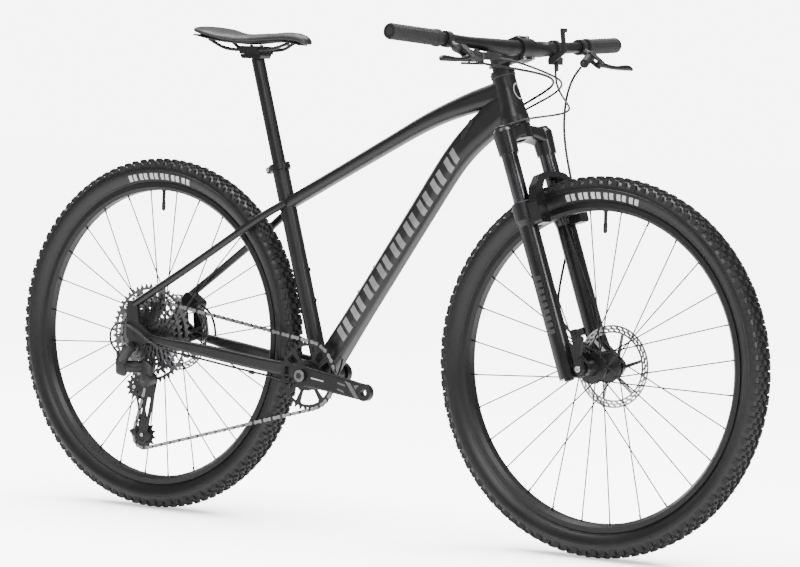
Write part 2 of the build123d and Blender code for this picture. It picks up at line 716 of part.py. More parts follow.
# The lever's own frame: x away from the bar, y outwards on the left, z along the pivot pin.
LEVER_Y = 226
LEVER_SLOPE = math.radians(37.5)
LEVER_OUT = Vector(math.cos(LEVER_SLOPE), 0, -math.sin(LEVER_SLOPE))
LEVER_PIN = Vector(math.sin(LEVER_SLOPE), 0, math.cos(LEVER_SLOPE))
LEVER_PIVOT = bar_point(LEVER_Y, 50, -32)
LEVER = Plane(origin=LEVER_PIVOT, x_dir=LEVER_OUT, z_dir=LEVER_PIN)
MASTER_START = LEVER.from_local_coords(Vector(-30, 8, -2))
MASTER_END = LEVER.from_local_coords(Vector(-6, -42, -6))


def slab(sketch, z_low, z_high):
    """Flat plate drawn in a local XY frame."""
    return Pos(0, 0, z_low) * extrude(sketch, amount=z_high - z_low)


def capsule(start, end, start_r, end_r):
    """Outline round two circles."""
    return make_hull((Pos(*start) * Circle(start_r) + Pos(*end) * Circle(end_r)).edges())


def brake_master():
    """Left brake master: band clamp, arm, fluid cylinder and the two ears of the lever pivot."""
    body = clamp_band(LEVER_Y - 3, 14)
    start = bar_point(LEVER_Y + 4, 11, -8)
    body += rod(start, MASTER_START, 7)
    body += Pos(*MASTER_START) * Sphere(9)
    body += rod(MASTER_START, MASTER_END, 9)
    tail = MASTER_END + (MASTER_END - MASTER_START).normalized() * 8
    body += rod(MASTER_END, tail, 4.5)
    ears = slab(capsule((0, 0), (-20, -3), 7.5, 9), 4.4, 8)
    ears += slab(capsule((0, 0), (-20, -3), 7.5, 9), -8, -4.4)
    ears += slab(Pos(-22, -4) * Rectangle(12, 14), -8, 8)
    ears -= slab(Circle(2.5 + RUNNING), -10, 10)
    return body + LEVER.location * ears


def brake_lever():
    """Left lever blade with the pin it swings on."""
    blade = slab(capsule((0, 0), (10, 46), 6.5, 5), -4, 4)
    blade += slab(capsule((10, 46), (9, 102), 5, 6.5), -4, 4)
    pin = slab(Circle(2.5), -9, 9)
    return LEVER.location * (blade + pin)


SHIFT_Y = -150
SHIFT_PIVOT = bar_point(SHIFT_Y, 14, -36)


def shifter_body():
    """Trigger shifter pod ahead of and below the bar on the right, with its clamp."""
    pod_z = SHIFT_PIVOT.Z + 12
    body = clamp_band(SHIFT_Y - 6, 11, 3.5)
    body += rod(bar_point(SHIFT_Y, 4, -12), (SHIFT_PIVOT.X, SHIFT_Y, pod_z), 5)
    outline = fillet(Rectangle(34, 58).vertices(), 8)
    body += Pos(SHIFT_PIVOT.X + 6, SHIFT_Y + 6, 0) * slab(outline, pod_z - 7, pod_z + 7)
    body += rod((SHIFT_PIVOT.X + 14, SHIFT_Y + 34, pod_z), (SHIFT_PIVOT.X + 16, SHIFT_Y + 46, pod_z), 4.2)
    body -= Pos(SHIFT_PIVOT.X, SHIFT_Y, 0) * slab(Circle(4 + RUNNING), pod_z - 20, pod_z + 5)
    body -= bar_body(-0.3)
    return body.solids().sort_by(SortBy.VOLUME)[-1]


def shift_lever_main():
    """Large thumb paddle with the pin it turns on."""
    paddle = slab(capsule((0, 0), (-22, -12), 8, 6), 0, 4.5)
    paddle += slab(capsule((-22, -12), (-30, -34), 6, 9), 0, 4.5)
    paddle += slab(Circle(4), 0, 17)
    return Pos(*SHIFT_PIVOT) * paddle


def shift_lever_release():
    """Small paddle under the large one."""
    paddle = slab(capsule((0, 0), (-20, 2), 6.5, 5), -5, -0.6)
    paddle += slab(capsule((-20, 2), (-30, -8), 5, 7), -5, -0.6)
    return Pos(*SHIFT_PIVOT) * paddle


LOCKOUT_Y = 118
LOCKOUT_BAND_R = 13.6
LOCKOUT_PIN = bar_point(LOCKOUT_Y, 6, -24)


def lockout_body():
    """Fork lockout remote: band clamp with a housing and cable outlet below the bar."""
    ring = Circle(LOCKOUT_BAND_R + 3.5) - Circle(LOCKOUT_BAND_R)
    body = along_bar(LOCKOUT_Y - 6, extrude(ring, amount=12))
    body += Pos(LOCKOUT_PIN.X, LOCKOUT_Y, LOCKOUT_PIN.Z) * Box(22, 20, 15)
    body += rod((LOCKOUT_PIN.X + 2, LOCKOUT_Y, LOCKOUT_PIN.Z - 7),
                (LOCKOUT_PIN.X + 3, LOCKOUT_Y, LOCKOUT_PIN.Z - 20), 4.5)
    body -= bar_body(-0.1)
    body -= Pos(LOCKOUT_PIN.X, 0, LOCKOUT_PIN.Z) * plate(Circle(3 + RUNNING), 60, 180)
    return body


def lockout_lever():
    """Thumb lever that stands up ahead of the bar, with its pin."""
    inner = LOCKOUT_Y - 17.5
    outer = LOCKOUT_Y - 12.5
    outline = capsule((0, 0), (29, 19), 7, 4.5)
    outline += capsule((29, 19), (24, 58), 4.5, 4)
    body = plate(outline, inner, outer) + plate(Circle(3), inner, LOCKOUT_Y + 9)
    body += plate(Pos(24, 60) * fillet(Rectangle(9, 8).vertices(), 2), inner, outer + 8)
    return Pos(LOCKOUT_PIN.X, 0, LOCKOUT_PIN.Z) * body


# ---- Brakes --------------------------------------------------------------------------
FRONT_ROTOR_Y = 43.0
REAR_ROTOR_Y = 58.5
CALIPER_R = 78


def caliper(angle, tall=34, long=50):
    """Caliper astride a disc's edge: drawn about the wheel's centre, disc at Y=0."""
    outline = fillet(Rectangle(tall, long).vertices(), 9)
    body = plate(Pos(CALIPER_R, 0) * outline, -15, 15)
    body -= plate(Pos(CALIPER_R - 6, 0) * Rectangle(tall, long + 2), -1.9, 1.9)
    return Rot(Y=-angle) * body


def front_brake_caliper():
    """Front caliper behind the left leg, with the bracket its two posts hold."""
    body = Pos(AXLE_FORWARD, FRONT_ROTOR_Y, AXLE_DOWN) * caliper(146, 28, 44)
    low = AXLE_DOWN + 12
    bracket = Pos(LEG_FORWARD - 40, LEG_Y - 7, low + 37) * Box(13, 16, 92)
    body += bracket
    body -= Pos(LEG_FORWARD, LEG_Y, 0) * upright(LOWER_R + 0.4, low - 40, low + 120)
    body -= Pos(AXLE_FORWARD, 0, AXLE_DOWN) * plate(Circle(ROTOR_R + 1.5), FRONT_ROTOR_Y - 1.9,
                                                    FRONT_ROTOR_Y + 1.9)
    body -= fork_lug(1, 0.5)
    for post in caliper_posts(0.1):
        body -= post
    return on_head(body.solids().sort_by(SortBy.VOLUME)[-1])


def caliper_posts(gap=0):
    """The two posts on the back of the left leg, or the room that they need."""
    low = AXLE_DOWN + 12
    posts = []
    for height in (0, 74):
        post = Box(18.9, 15 + 2 * gap, 14 + 2 * gap)
        posts.append(Pos(LEG_FORWARD - 24, LEG_Y - 7, low + height) * post)
    return posts


def rear_brake_caliper():
    """Rear caliper inside the left rear triangle, on a bracket above the chainstay."""
    body = Pos(REAR_X, REAR_ROTOR_Y, TYRE_R) * caliper(58, 28, 44)
    bracket = make_face(Polyline((-508, 370), (-476, 366), (-482, 400), (-496, 424), (-514, 424),
                                 close=True))
    body += plate(bracket, 62, 73.5)
    body -= Pos(REAR_X, 0, TYRE_R) * plate(Circle(ROTOR_R + 1.5), REAR_ROTOR_Y - 1.9,
                                           REAR_ROTOR_Y + 1.9)
    body -= mirrored(chainstay()) + mirrored(seatstay())
    return body.solids().sort_by(SortBy.VOLUME)[-1]


# ---- Hubs -------------------------------------------------------------------------------
FRONT_FLANGES = (22, -30)
REAR_FLANGES = (32, -20)


def hub(ends, flanges, barrel_r, rotor_y, bore_r):
    """Turned hub shell: bore, two spoke flanges and a spigot for the brake disc."""
    left, right = flanges
    left_end, right_end = ends
    face = rotor_y - 0.95
    shoulder = min(right - 7, right_end + 2)
    outline = [
        (bore_r, right_end), (10.5, right_end), (10.5, max(shoulder, right_end + 1)),
        (16, right - 3.5), (31, right - 1.6), (31, right + 1.6), (barrel_r, right + 9),
        (barrel_r, left - 9), (31, left - 1.6), (31, left + 1.6), (19, left + 6), (19, face - 5),
        (26, face - 4), (26, face), (17.4, face), (17.4, face + 3.2), (10.5, face + 4),
        (10.5, left_end), (bore_r, left_end),
    ]
    return turned(outline)


# ---- Crank --------------------------------------------------------------------------------
def toothed(teeth, phase):
    """Sprocket outline with a tooth gap centred on the phase angle (radians)."""
    pitch_r = pitch_radius(teeth)
    step = 2 * math.pi / teeth
    corners = []
    for gap in range(teeth):
        middle = phase + gap * step
        for radius, share in ((pitch_r, -0.32), (pitch_r - 3.95, -0.14), (pitch_r - 3.95, 0.14),
                              (pitch_r, 0.32), (pitch_r + TOOTH_RISE, 0.44), (pitch_r + TOOTH_RISE, 0.56)):
            angle = middle + share * step
            corners.append((radius * math.cos(angle), radius * math.sin(angle)))
    return make_face(Polyline(*corners, close=True))


def window(inner_r, outer_r, middle, half_span, corner=3):
    """Rounded opening between two arms of a ring (degrees)."""
    def at(radius, angle):
        return radius * math.cos(math.radians(angle)), radius * math.sin(math.radians(angle))
    low = middle - half_span
    high = middle + half_span
    edges = [
        ThreePointArc(at(inner_r, low), at(inner_r, middle), at(inner_r, high)),
        Line(at(inner_r, high), at(outer_r, high)),
        ThreePointArc(at(outer_r, high), at(outer_r, middle), at(outer_r, low)),
        Line(at(outer_r, low), at(inner_r, low)),
    ]
    face = make_face(edges)
    return fillet(face.vertices(), corner)


def chainring(phase):
    """Direct-mount chainring: wide and narrow openings by turns between its arms."""
    sketch = toothed(RING_TEETH, phase)
    for index in range(4):
        sketch -= window(31, 59, 90 * index + 8, 24, 5)
        sketch -= window(36, 59, 90 * index + 53, 9, 2.5)
    body = plate(sketch, RING_Y - RING_HALF_WIDTH, RING_Y + RING_HALF_WIDTH)
    body += plate(Circle(27), RING_Y - 7.3, RING_Y + RING_HALF_WIDTH)
    body -= plate(Circle(14.6), -90, 0)
    return Pos(BB.X, 0, BB.Z) * body


def crank_arm(side):
    """Forged arm that flares out to the pedal eye; drawn pointing along +X, then turned."""
    sections = []
    for distance, y, height, thickness in ((0, 64.5, 42, 13.5), (45, 66.5, 38, 14), (105, 74, 36, 13),
                                           (150, 80.5, 34, 12.5), (CRANK_LENGTH, 82, 33, 12.5)):
        section = Plane(origin=(distance, side * y, 0), x_dir=(0, 0, 1), z_dir=(1, 0, 0))
        sections.append(section * RectangleRounded(height, thickness, 4))
    body = loft(sections)
    eye = Pos(CRANK_LENGTH, 0)
    low, high = (57.6, 71.5) if side > 0 else (-71.5, -57.6)
    body += plate(Circle(22), low, high)
    low, high = (75.4, 88.4) if side > 0 else (-88.4, -75.4)
    body += plate(eye * Circle(17), low, high)
    if side > 0:
        body -= plate(Circle(14.5), 50, 67)
    else:
        body += plate(Circle(14.45), -60, 66.5)
    body -= plate(eye * Circle(PEDAL_THREAD_R), -95, 95)
    turn = CRANK_ANGLE if side < 0 else CRANK_ANGLE + 180
    return Pos(BB.X, 0, BB.Z) * Rot(Y=turn) * body


PEDAL_THREAD_R = 7.144


# ---- Chain and sprockets --------------------------------------------------------------------
def chain_circles():
    """(centre, pitch radius, sense, y, teeth) in the order the chain runs; sense +1 is anticlockwise."""
    return [
        (BB, pitch_radius(RING_TEETH), -1, RING_Y, RING_TEETH),
        (TENSION_PULLEY, pitch_radius(TENSION_TEETH), -1, COG_Y, TENSION_TEETH),
        (GUIDE_PULLEY, pitch_radius(GUIDE_TEETH), 1, COG_Y, GUIDE_TEETH),
        (REAR_AXLE, pitch_radius(COG_TEETH[DRIVEN_COG]), -1, COG_Y, COG_TEETH[DRIVEN_COG]),
    ]


def chain_layout():
    """For each circle: angles where the chain arrives and leaves, and the pitches run so far."""
    circles = chain_circles()
    headings = []
    lengths = []
    for index, (centre, radius, sense, _, _) in enumerate(circles):
        after, after_r, after_sense, _, _ = circles[(index + 1) % len(circles)]
        gap = after - centre
        span = math.hypot(gap.X, gap.Z)
        lean = math.asin((after_sense * after_r - sense * radius) / span)
        headings.append(math.atan2(gap.Z, gap.X) - lean)
        lengths.append(math.sqrt(span ** 2 - (after_sense * after_r - sense * radius) ** 2))
    rows = []
    count = 0.0
    for index, (centre, radius, sense, y, teeth) in enumerate(circles):
        arrive = headings[index - 1] - sense * math.pi / 2
        leave = headings[index] - sense * math.pi / 2
        wrap = (sense * (leave - arrive)) % (2 * math.pi)
        rows.append({"centre": centre, "radius": radius, "sense": sense, "y": y, "teeth": teeth,
                     "arrive": arrive, "wrap": wrap, "leave": leave, "count": count,
                     "heading": headings[index], "run": lengths[index]})
        count += wrap * teeth / (2 * math.pi) + lengths[index] / PITCH
    return rows, count


def gap_phase(row):
    """Angle of a tooth gap that a chain roller sits in."""
    return row["arrive"] - row["sense"] * row["count"] * 2 * math.pi / row["teeth"]


def chain_section(point, y, across, along, offset):
    """Cross-section of one plate band of the chain."""
    frame = Plane(origin=(point.X, y, point.Z), x_dir=across, z_dir=along)
    thickness = CHAIN_HALF_WIDTH - CHAIN_INNER_HALF
    band = Rectangle(2 * CHAIN_HALF_HEIGHT, thickness)
    return frame * Pos(0, offset * (CHAIN_INNER_HALF + thickness / 2)) * band


def chain():
    """The chain's two plate bands round ring, cog and pulleys."""
    rows, _ = chain_layout()
    bands = []
    for offset in (1, -1):
        band = None
        for index, row in enumerate(rows):
            after = rows[(index + 1) % len(rows)]
            first = row["arrive"] if row["sense"] > 0 else row["leave"]
            radial = Vector(math.cos(first), 0, math.sin(first))
            tangent = Vector(-math.sin(first), 0, math.cos(first))
            start = row["centre"] + radial * row["radius"]
            face = chain_section(start, row["y"], radial, tangent, offset)
            axis = Axis((row["centre"].X, 0, row["centre"].Z), (0, -1, 0))
            arc = revolve(face, axis, revolution_arc=math.degrees(row["wrap"]))
            band = arc if band is None else band + arc
            heading = Vector(math.cos(row["heading"]), 0, math.sin(row["heading"]))
            left = Vector(-heading.Z, 0, heading.X)
            out = row["centre"] - left * row["sense"] * row["radius"]
            back = after["centre"] - left * after["sense"] * after["radius"]
            band += loft([chain_section(out, row["y"], left, heading, offset),
                          chain_section(back, after["y"], left, heading, offset)], ruled=True)
        bands.append(band)
    return Compound([solid for band in bands for solid in band.solids()])


def cassette(driven_phase):
    """Twelve sprockets on one sleeve that turns on the rear axle."""
    body = Pos(0, 0, 0) * turned([
        (REAR_AXLE_R + RUNNING, -73.6), (11, -73.6), (11, -72), (17.6, -72), (17.6, -28.8), (21, -28.8),
        (21, -26.2), (REAR_AXLE_R + RUNNING, -26.2)])
    count = len(COG_TEETH)
    for index, teeth in enumerate(COG_TEETH):
        y = COG_INNER_Y - (count - 1 - index) * COG_SPACING
        phase = driven_phase if index == DRIVEN_COG else 0.3 * index
        sketch = toothed(teeth, phase) - Circle(17)
        pitch_r = pitch_radius(teeth)
        if teeth >= 28:
            arms = 6 if teeth < 40 else 9
            for arm in range(arms):
                sketch -= window(25, pitch_r - 9, 360 / arms * arm + 12 * index, 130 / arms, 2)
        body += plate(sketch, y - TOOTH_HALF_WIDTH, y + TOOTH_HALF_WIDTH)
    return Pos(REAR_X, 0, TYRE_R) * body


def pulley(centre, teeth, phase):
    """Jockey wheel with a bore for its bolt."""
    sketch = toothed(teeth, phase) - Circle(3 + RUNNING)
    for index in range(5):
        sketch -= Rot(Z=72 * index) * Pos(11.5, 0) * Circle(2.6)
    return Pos(centre.X, 0, centre.Z) * plate(sketch, COG_Y - TOOTH_HALF_WIDTH, COG_Y + TOOTH_HALF_WIDTH)


# ---- Rear derailleur ---------------------------------------------------------------------------
LINK_LOW = 288
LINK_HIGH = 309
LINK_PIN_R = 2.5
CAGE_GAP = 4.4


def ears(point, half_width, reach):
    """Upper and lower plates that hold a link's vertical pin; reach is towards +X or -X."""
    outline = Circle(half_width) + Pos(reach / 2, 0) * Rectangle(abs(reach), 2 * half_width)
    both = slab(outline, LINK_LOW - 5.4, LINK_LOW - 0.4) + slab(outline, LINK_HIGH + 0.4, LINK_HIGH + 5.4)
    wall = Pos(reach - math.copysign(2.5, reach), 0) * Rectangle(5, 2 * half_width)
    both += slab(wall, LINK_LOW - 5.4, LINK_HIGH + 5.4)
    pin = slab(Circle(LINK_PIN_R), LINK_LOW - 5, LINK_HIGH + 5)
    return Pos(point.X, point.Y, 0) * (both + pin)


def derailleur_base():
    """Knuckle on the hanger bolt, with the rear ears of the parallelogram."""
    body = disc(HANGER_BOLT, 5, -84, -75.5) + disc(HANGER_BOLT, 12, -98, -82.4)
    body += ears(LINK_BACK, 8, -16)
    body += Pos(-564, -90.2, LINK_HIGH + 13) * Box(20, 15.6, 25)
    body += rod((-583, -91, LINK_HIGH + 4), (-586, -91.5, LINK_HIGH + 17), 3.6)
    return body


def derailleur_linkage():
    """Parallelogram link between the two knuckles."""
    sketch = capsule((LINK_BACK.X, LINK_BACK.Y), (LINK_FRONT.X, LINK_FRONT.Y), 7, 7)
    for point in (LINK_BACK, LINK_FRONT):
        sketch -= Pos(point.X, point.Y) * Circle(LINK_PIN_R + RUNNING)
    return slab(sketch, LINK_LOW, LINK_HIGH)


def derailleur_knuckle():
    """Front knuckle: ears for the link above the spring barrel that carries the cage."""
    body = ears(LINK_FRONT, 8, 15)
    body += disc(CAGE_PIVOT, 14.5, -74, COG_Y - CAGE_GAP - 4)
    body -= disc(CAGE_PIVOT, 5 + RUNNING, -71, -30)
    return body


def derailleur_cage():
    """Two cage plates, the pulley bolts between them and the pin in the knuckle."""
    pivot, guide, tension = (Vector(p.X, p.Z) for p in (CAGE_PIVOT, GUIDE_PULLEY, TENSION_PULLEY))
    outer = capsule(pivot, tension, 13, 12) + capsule(pivot, guide, 12, 9)
    outer -= Pos(*(pivot + (tension - pivot) * 0.52)) * Rot(Z=78) * SlotOverall(46, 9)
    inner = capsule(guide, tension, 8.5, 12)
    inner -= Pos(*(guide + (tension - guide) * 0.5)) * Rot(Z=-76) * SlotOverall(50, 9)
    near = COG_Y - CAGE_GAP
    far = COG_Y + CAGE_GAP
    body = plate(outer, near - 2, near) + plate(inner, far, far + 1.8)
    for centre in (GUIDE_PULLEY, TENSION_PULLEY):
        body += disc(centre, 3, near - 2, far + 1.8)
    body += disc(CAGE_PIVOT, 5, -70, near - 0.5)
    return body


# ---- Hoses and cables ------------------------------------------------------------------------------

FRONT_HOSE = [
    (365, 178, 941), (361, 164, 927), (360, 148, 905), (364, 130, 878), (370, 116, 846), (378, 105, 812),
    (389, 98, 772), (402, 95, 730), (414, 93.5, 690), (419, 91, 650), (414, 87.5, 610), (406, 83, 572),
    (401, 78, 534), (399, 72, 499), (401, 67, 471), (409, 62.5, 450), (423, 59.5, 435.5),
    (438.4, 58.7, 425.2),
]
REAR_HOSE_FRONT = [
    (365, -178, 941), (372, -160, 937), (384, -128, 934), (398, -88, 930), (410, -48, 925),
    (415, -12, 919), (410, 16, 911), (393, 34, 900), (366, 40, 886), (336, 40, 870), (310, 38, 856),
    (286, 33, 846), (266, 25, 840),
]
REAR_HOSE_BACK = [
    (-485, 60, 425.5), (-472, 61, 417.5), (-462, 63, 405), (-457, 65.5, 390), (-455.5, 68, 376),
    (-456, 70, 363.6),
]
SHIFT_FRONT = [
    (348, -112, 952), (360, -90, 950), (384, -66, 943), (408, -40, 932), (424, -8, 920), (427, 18, 910),
    (412, 38, 898), (384, 46, 882), (350, 46, 866), (318, 44, 850), (290, 38, 838), (264, 25, 828),
]
SHIFT_BACK = [
    (-60, -12, 344), (-61, -15, 322), (-72, -21, 298), (-94, -27, 282), (-126, -32, 278), (-165, -36, 287),
    (-208, -41.5, 297.5), (-258, -48.5, 305), (-312, -56, 313), (-366, -62.4, 322), (-414, -68, 329),
    (-452, -75, 335), (-484, -84, 343), (-512, -89, 356), (-540, -91, 375), (-568, -92, 388),
    (-592, -92.5, 386), (-606, -93, 370), (-606, -92.5, 350), (-597, -92, 335), (-587.2, -91.7, 327.8),
]
LOCKOUT_CABLE = [
    (345, 118, 932), (347, 116, 918), (356, 110, 900), (374, 101, 882), (396, 88, 867), (413, 70, 857),
    (418, 46, 850), (410, 22, 845), (394, -2, 841), (376, -26, 836), (363, -46, 829), (354, -59, 822),
]


def clipped_hoses():
    """Every held line along its route."""
    return {
        "front_brake_hose": hose("front_brake_hose", FRONT_HOSE, HOSE_R),
        "rear_brake_hose": Compound([hose("rear_brake_hose front", REAR_HOSE_FRONT, HOSE_R),
                                     hose("rear_brake_hose back", REAR_HOSE_BACK, HOSE_R)]),
        "shift_housing": Compound([hose("shift_housing front", SHIFT_FRONT, CABLE_R),
                                   hose("shift_housing back", SHIFT_BACK, CABLE_R)]),
        "lockout_cable": hose("lockout_cable", LOCKOUT_CABLE, CABLE_R),
    }


# ---- Assembly ----------------------------------------------------------------------------------------
def frame_parts():
    right_dropout = dropout(-1)
    left_dropout = dropout(1)
    right_chainstay = chainstay()
    right_seatstay = seatstay() - right_chainstay
    return {
        "head_tube": head_tube(),
        "top_tube": top_tube(),
        "down_tube": down_tube(),
        "seat_tube": seat_tube(),
        "bottom_bracket_shell": bottom_bracket_shell(),
        "chainstays": Compound([right_chainstay - right_dropout, mirrored(right_chainstay) - left_dropout]),
        "seatstays": Compound([right_seatstay - right_dropout, mirrored(right_seatstay) - left_dropout]),
        "dropouts": Compound([right_dropout, left_dropout]),
        "seat_clamp": seat_clamp(),
        "bearing_cups": Compound(headset_cups() + bottom_bracket_cups()),
        "rear_axle": rear_axle(),
        "rear_brake_caliper": rear_brake_caliper(),
    }


def saddle_parts():
    return {
        "seatpost": seatpost(),
        "rail_clamp": rail_clamp(),
        "saddle_rails": saddle_rails(),
        "saddle_shell": saddle_shell(),
        "saddle_cover": saddle_cover(),
    }


def cockpit_parts():
    left_master = brake_master()
    left_lever = brake_lever()
    return {
        "stem": stem(),
        "headset_spacers": headset_spacers(),
        "handlebar": handlebar(),
        "grips": grips(),
        "brake_masters": Compound([left_master, mirrored(left_master)]),
        "brake_lever_left": left_lever,
        "brake_lever_right": mirrored(left_lever),
        "shifter_body": shifter_body(),
        "shift_lever_main": shift_lever_main(),
        "shift_lever_release": shift_lever_release(),
        "lockout_body": lockout_body(),
        "lockout_lever": lockout_lever(),
    }


def fork_parts():
    return {
        "fork_crown": fork_crown(),
        "fork_stanchions": fork_stanchions(),
        "fork_lowers": fork_lowers(),
        "front_axle": front_axle(),
        "front_axle_lever": front_axle_lever(),
        "front_brake_caliper": front_brake_caliper(),
    }


def wheel_parts():
    front = Pos(FRONT_X, 0, TYRE_R)
    rear = Pos(REAR_X, 0, TYRE_R)
    tyre_shape = tyre()
    rim_shape = rim()
    front_bore = FRONT_AXLE_R + RUNNING
    rear_bore = REAR_AXLE_R + RUNNING
    return {
        "front_tyre": front * tyre_shape,
        "front_rim": front * rim_shape,
        "front_spokes": front * spokes(*FRONT_FLANGES),
        "front_hub": front * hub((54.6, -54.6), FRONT_FLANGES, 14, FRONT_ROTOR_Y, front_bore),
        "front_rotor": front * rotor(FRONT_ROTOR_Y),
        "rear_tyre": rear * tyre_shape,
        "rear_rim": rear * rim_shape,
        "rear_spokes": rear * spokes(*REAR_FLANGES),
        "rear_hub": rear * hub((73.6, -25.7), REAR_FLANGES, 15, REAR_ROTOR_Y, rear_bore),
        "rear_rotor": rear * rotor(REAR_ROTOR_Y),
    }


def drive_parts():
    rows, pitches = chain_layout()
    print(f"chain: {pitches:.2f} pitches")
    ring, tension, guide, cog = rows
    return {
        "chainring": chainring(gap_phase(ring)),
        "crank_arm_right": crank_arm(-1),
        "crank_arm_left": crank_arm(1),
        "cassette": cassette(gap_phase(cog)),
        "chain": chain(),
        "derailleur_base": derailleur_base(),
        "derailleur_linkage": derailleur_linkage(),
        "derailleur_knuckle": derailleur_knuckle(),
        "derailleur_cage": derailleur_cage(),
        "guide_pulley": pulley(GUIDE_PULLEY, GUIDE_TEETH, gap_phase(guide)),
        "tension_pulley": pulley(TENSION_PULLEY, TENSION_TEETH, gap_phase(tension)),
    }


def main():
    os.makedirs("parts", exist_ok=True)
    groups = (frame_parts, saddle_parts, cockpit_parts, fork_parts, wheel_parts, drive_parts, clipped_hoses)
    for group in groups:
        for name, shape in group().items():
            export_step(shape, f"parts/{name}.step")


main()
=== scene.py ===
import math
import random
from collections import namedtuple

import bmesh
import bpy
from mathutils import Matrix, Vector
from mathutils.bvhtree import BVHTree


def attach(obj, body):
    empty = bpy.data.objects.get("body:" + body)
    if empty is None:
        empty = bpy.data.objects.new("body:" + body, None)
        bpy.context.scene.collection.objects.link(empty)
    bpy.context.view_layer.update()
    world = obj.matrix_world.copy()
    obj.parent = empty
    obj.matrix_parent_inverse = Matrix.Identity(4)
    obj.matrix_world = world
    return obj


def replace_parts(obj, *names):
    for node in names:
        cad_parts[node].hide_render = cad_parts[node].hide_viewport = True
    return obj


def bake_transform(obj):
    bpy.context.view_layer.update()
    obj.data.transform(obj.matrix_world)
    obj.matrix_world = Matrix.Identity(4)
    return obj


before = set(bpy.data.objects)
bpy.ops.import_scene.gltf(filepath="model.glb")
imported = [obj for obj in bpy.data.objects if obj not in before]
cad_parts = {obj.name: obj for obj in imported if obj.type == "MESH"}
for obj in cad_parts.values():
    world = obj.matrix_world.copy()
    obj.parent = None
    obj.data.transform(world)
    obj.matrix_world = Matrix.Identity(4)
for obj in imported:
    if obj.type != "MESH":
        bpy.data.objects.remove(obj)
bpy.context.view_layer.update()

# ---- Driving dimensions, as in the CAD source
AXLE_Z = 0.366
FRONT_X = 0.548
REAR_X = -0.548
RIM_R = 0.316
TREAD_R = 0.366
HEAD_MID = Vector((0.3175, 0, 0.874))
HEAD_UP = Vector((-math.cos(math.radians(70)), 0, math.sin(math.radians(70))))
HEAD_FORWARD = Vector((HEAD_UP.z, 0, -HEAD_UP.x))
BB = Vector((-0.1185, 0, 0.308))
SEAT_UP = Vector((-math.cos(math.radians(73.4)), 0, math.sin(math.radians(73.4))))
SEAT_ACROSS = Vector((SEAT_UP.z, 0, -SEAT_UP.x))
DOWN_UP = Vector((0.2075, 0, 0.2925)).normalized()
DOWN_NORMAL = Vector((-DOWN_UP.z, 0, DOWN_UP.x))
BAR_CENTRE = HEAD_MID + HEAD_FORWARD * 0.060 + HEAD_UP * 0.082
BAR_HALF = 0.390
BAR_KNEE = 0.050
BAR_SWEEP = 0.037
BAR_RISE = 0.0195
SADDLE_CLAMP = BB + SEAT_UP * 0.678
PITCH = 0.0127
RING_TEETH = 34
COG_TEETH = 36
RING_Y = -0.050
COG_Y = -0.0373
GUIDE_PULLEY = Vector((-0.578, 0, 0.253))
TENSION_PULLEY = Vector((-0.554, 0, 0.154))
BOSS_PITCH = 0.064
LEG_FORWARD = 0.009
LEG_SIDE = 0.0655
CROWN_TOP = -0.0662
LOWERS_TOP = -0.2172
LOWERS_FOOT = -0.5662
SPOKES_PER_SIDE = 14
SPOKE_BUTT = 0.00030
ROTOR_Y = {"front": 0.0439, "rear": 0.0594}
HOSE_R = 0.0025
CABLE_R = 0.0022


# ---- Materials
GRAIN_DEPTH = 0.0004


def finish(name, colour, roughness, metallic=0.0, grain=400.0, bump=0.05, vary=0.25, coat=0.0):
    """Procedural finish: clouded colour, uneven gloss and a fine grain."""
    made = bpy.data.materials.new(name)
    made.use_nodes = True
    nodes = made.node_tree.nodes
    links = made.node_tree.links
    shader = nodes["Principled BSDF"]
    shader.inputs["Metallic"].default_value = metallic
    shader.inputs["Coat Weight"].default_value = coat
    shader.inputs["Coat Roughness"].default_value = 0.2
    place = nodes.new("ShaderNodeTexCoord")
    cloud = nodes.new("ShaderNodeTexNoise")
    cloud.inputs["Scale"].default_value = 14.0
    cloud.inputs["Detail"].default_value = 5.0
    links.new(place.outputs["Object"], cloud.inputs["Vector"])
    tint = nodes.new("ShaderNodeValToRGB")
    tint.color_ramp.elements[0].position = 0.3
    tint.color_ramp.elements[1].position = 0.7
    tint.color_ramp.elements[0].color = (*[c * (1 - vary) for c in colour], 1)
    tint.color_ramp.elements[1].color = (*[min(1, c * (1 + vary)) for c in colour], 1)
    links.new(cloud.outputs["Fac"], tint.inputs["Fac"])
    links.new(tint.outputs["Color"], shader.inputs["Base Color"])
    fine = nodes.new("ShaderNodeTexNoise")
    fine.inputs["Scale"].default_value = grain
    fine.inputs["Detail"].default_value = 3.0
    links.new(place.outputs["Object"], fine.inputs["Vector"])
    gloss = nodes.new("ShaderNodeMapRange")
    gloss.inputs["To Min"].default_value = max(0.03, roughness - 0.06)
    gloss.inputs["To Max"].default_value = min(1.0, roughness + 0.08)
    links.new(cloud.outputs["Fac"], gloss.inputs["Value"])
    links.new(gloss.outputs["Result"], shader.inputs["Roughness"])
    relief = nodes.new("ShaderNodeBump")
    relief.inputs["Strength"].default_value = bump
    relief.inputs["Distance"].default_value = GRAIN_DEPTH
    links.new(fine.outputs["Fac"], relief.inputs["Height"])
    links.new(relief.outputs["Normal"], shader.inputs["Normal"])
    return made


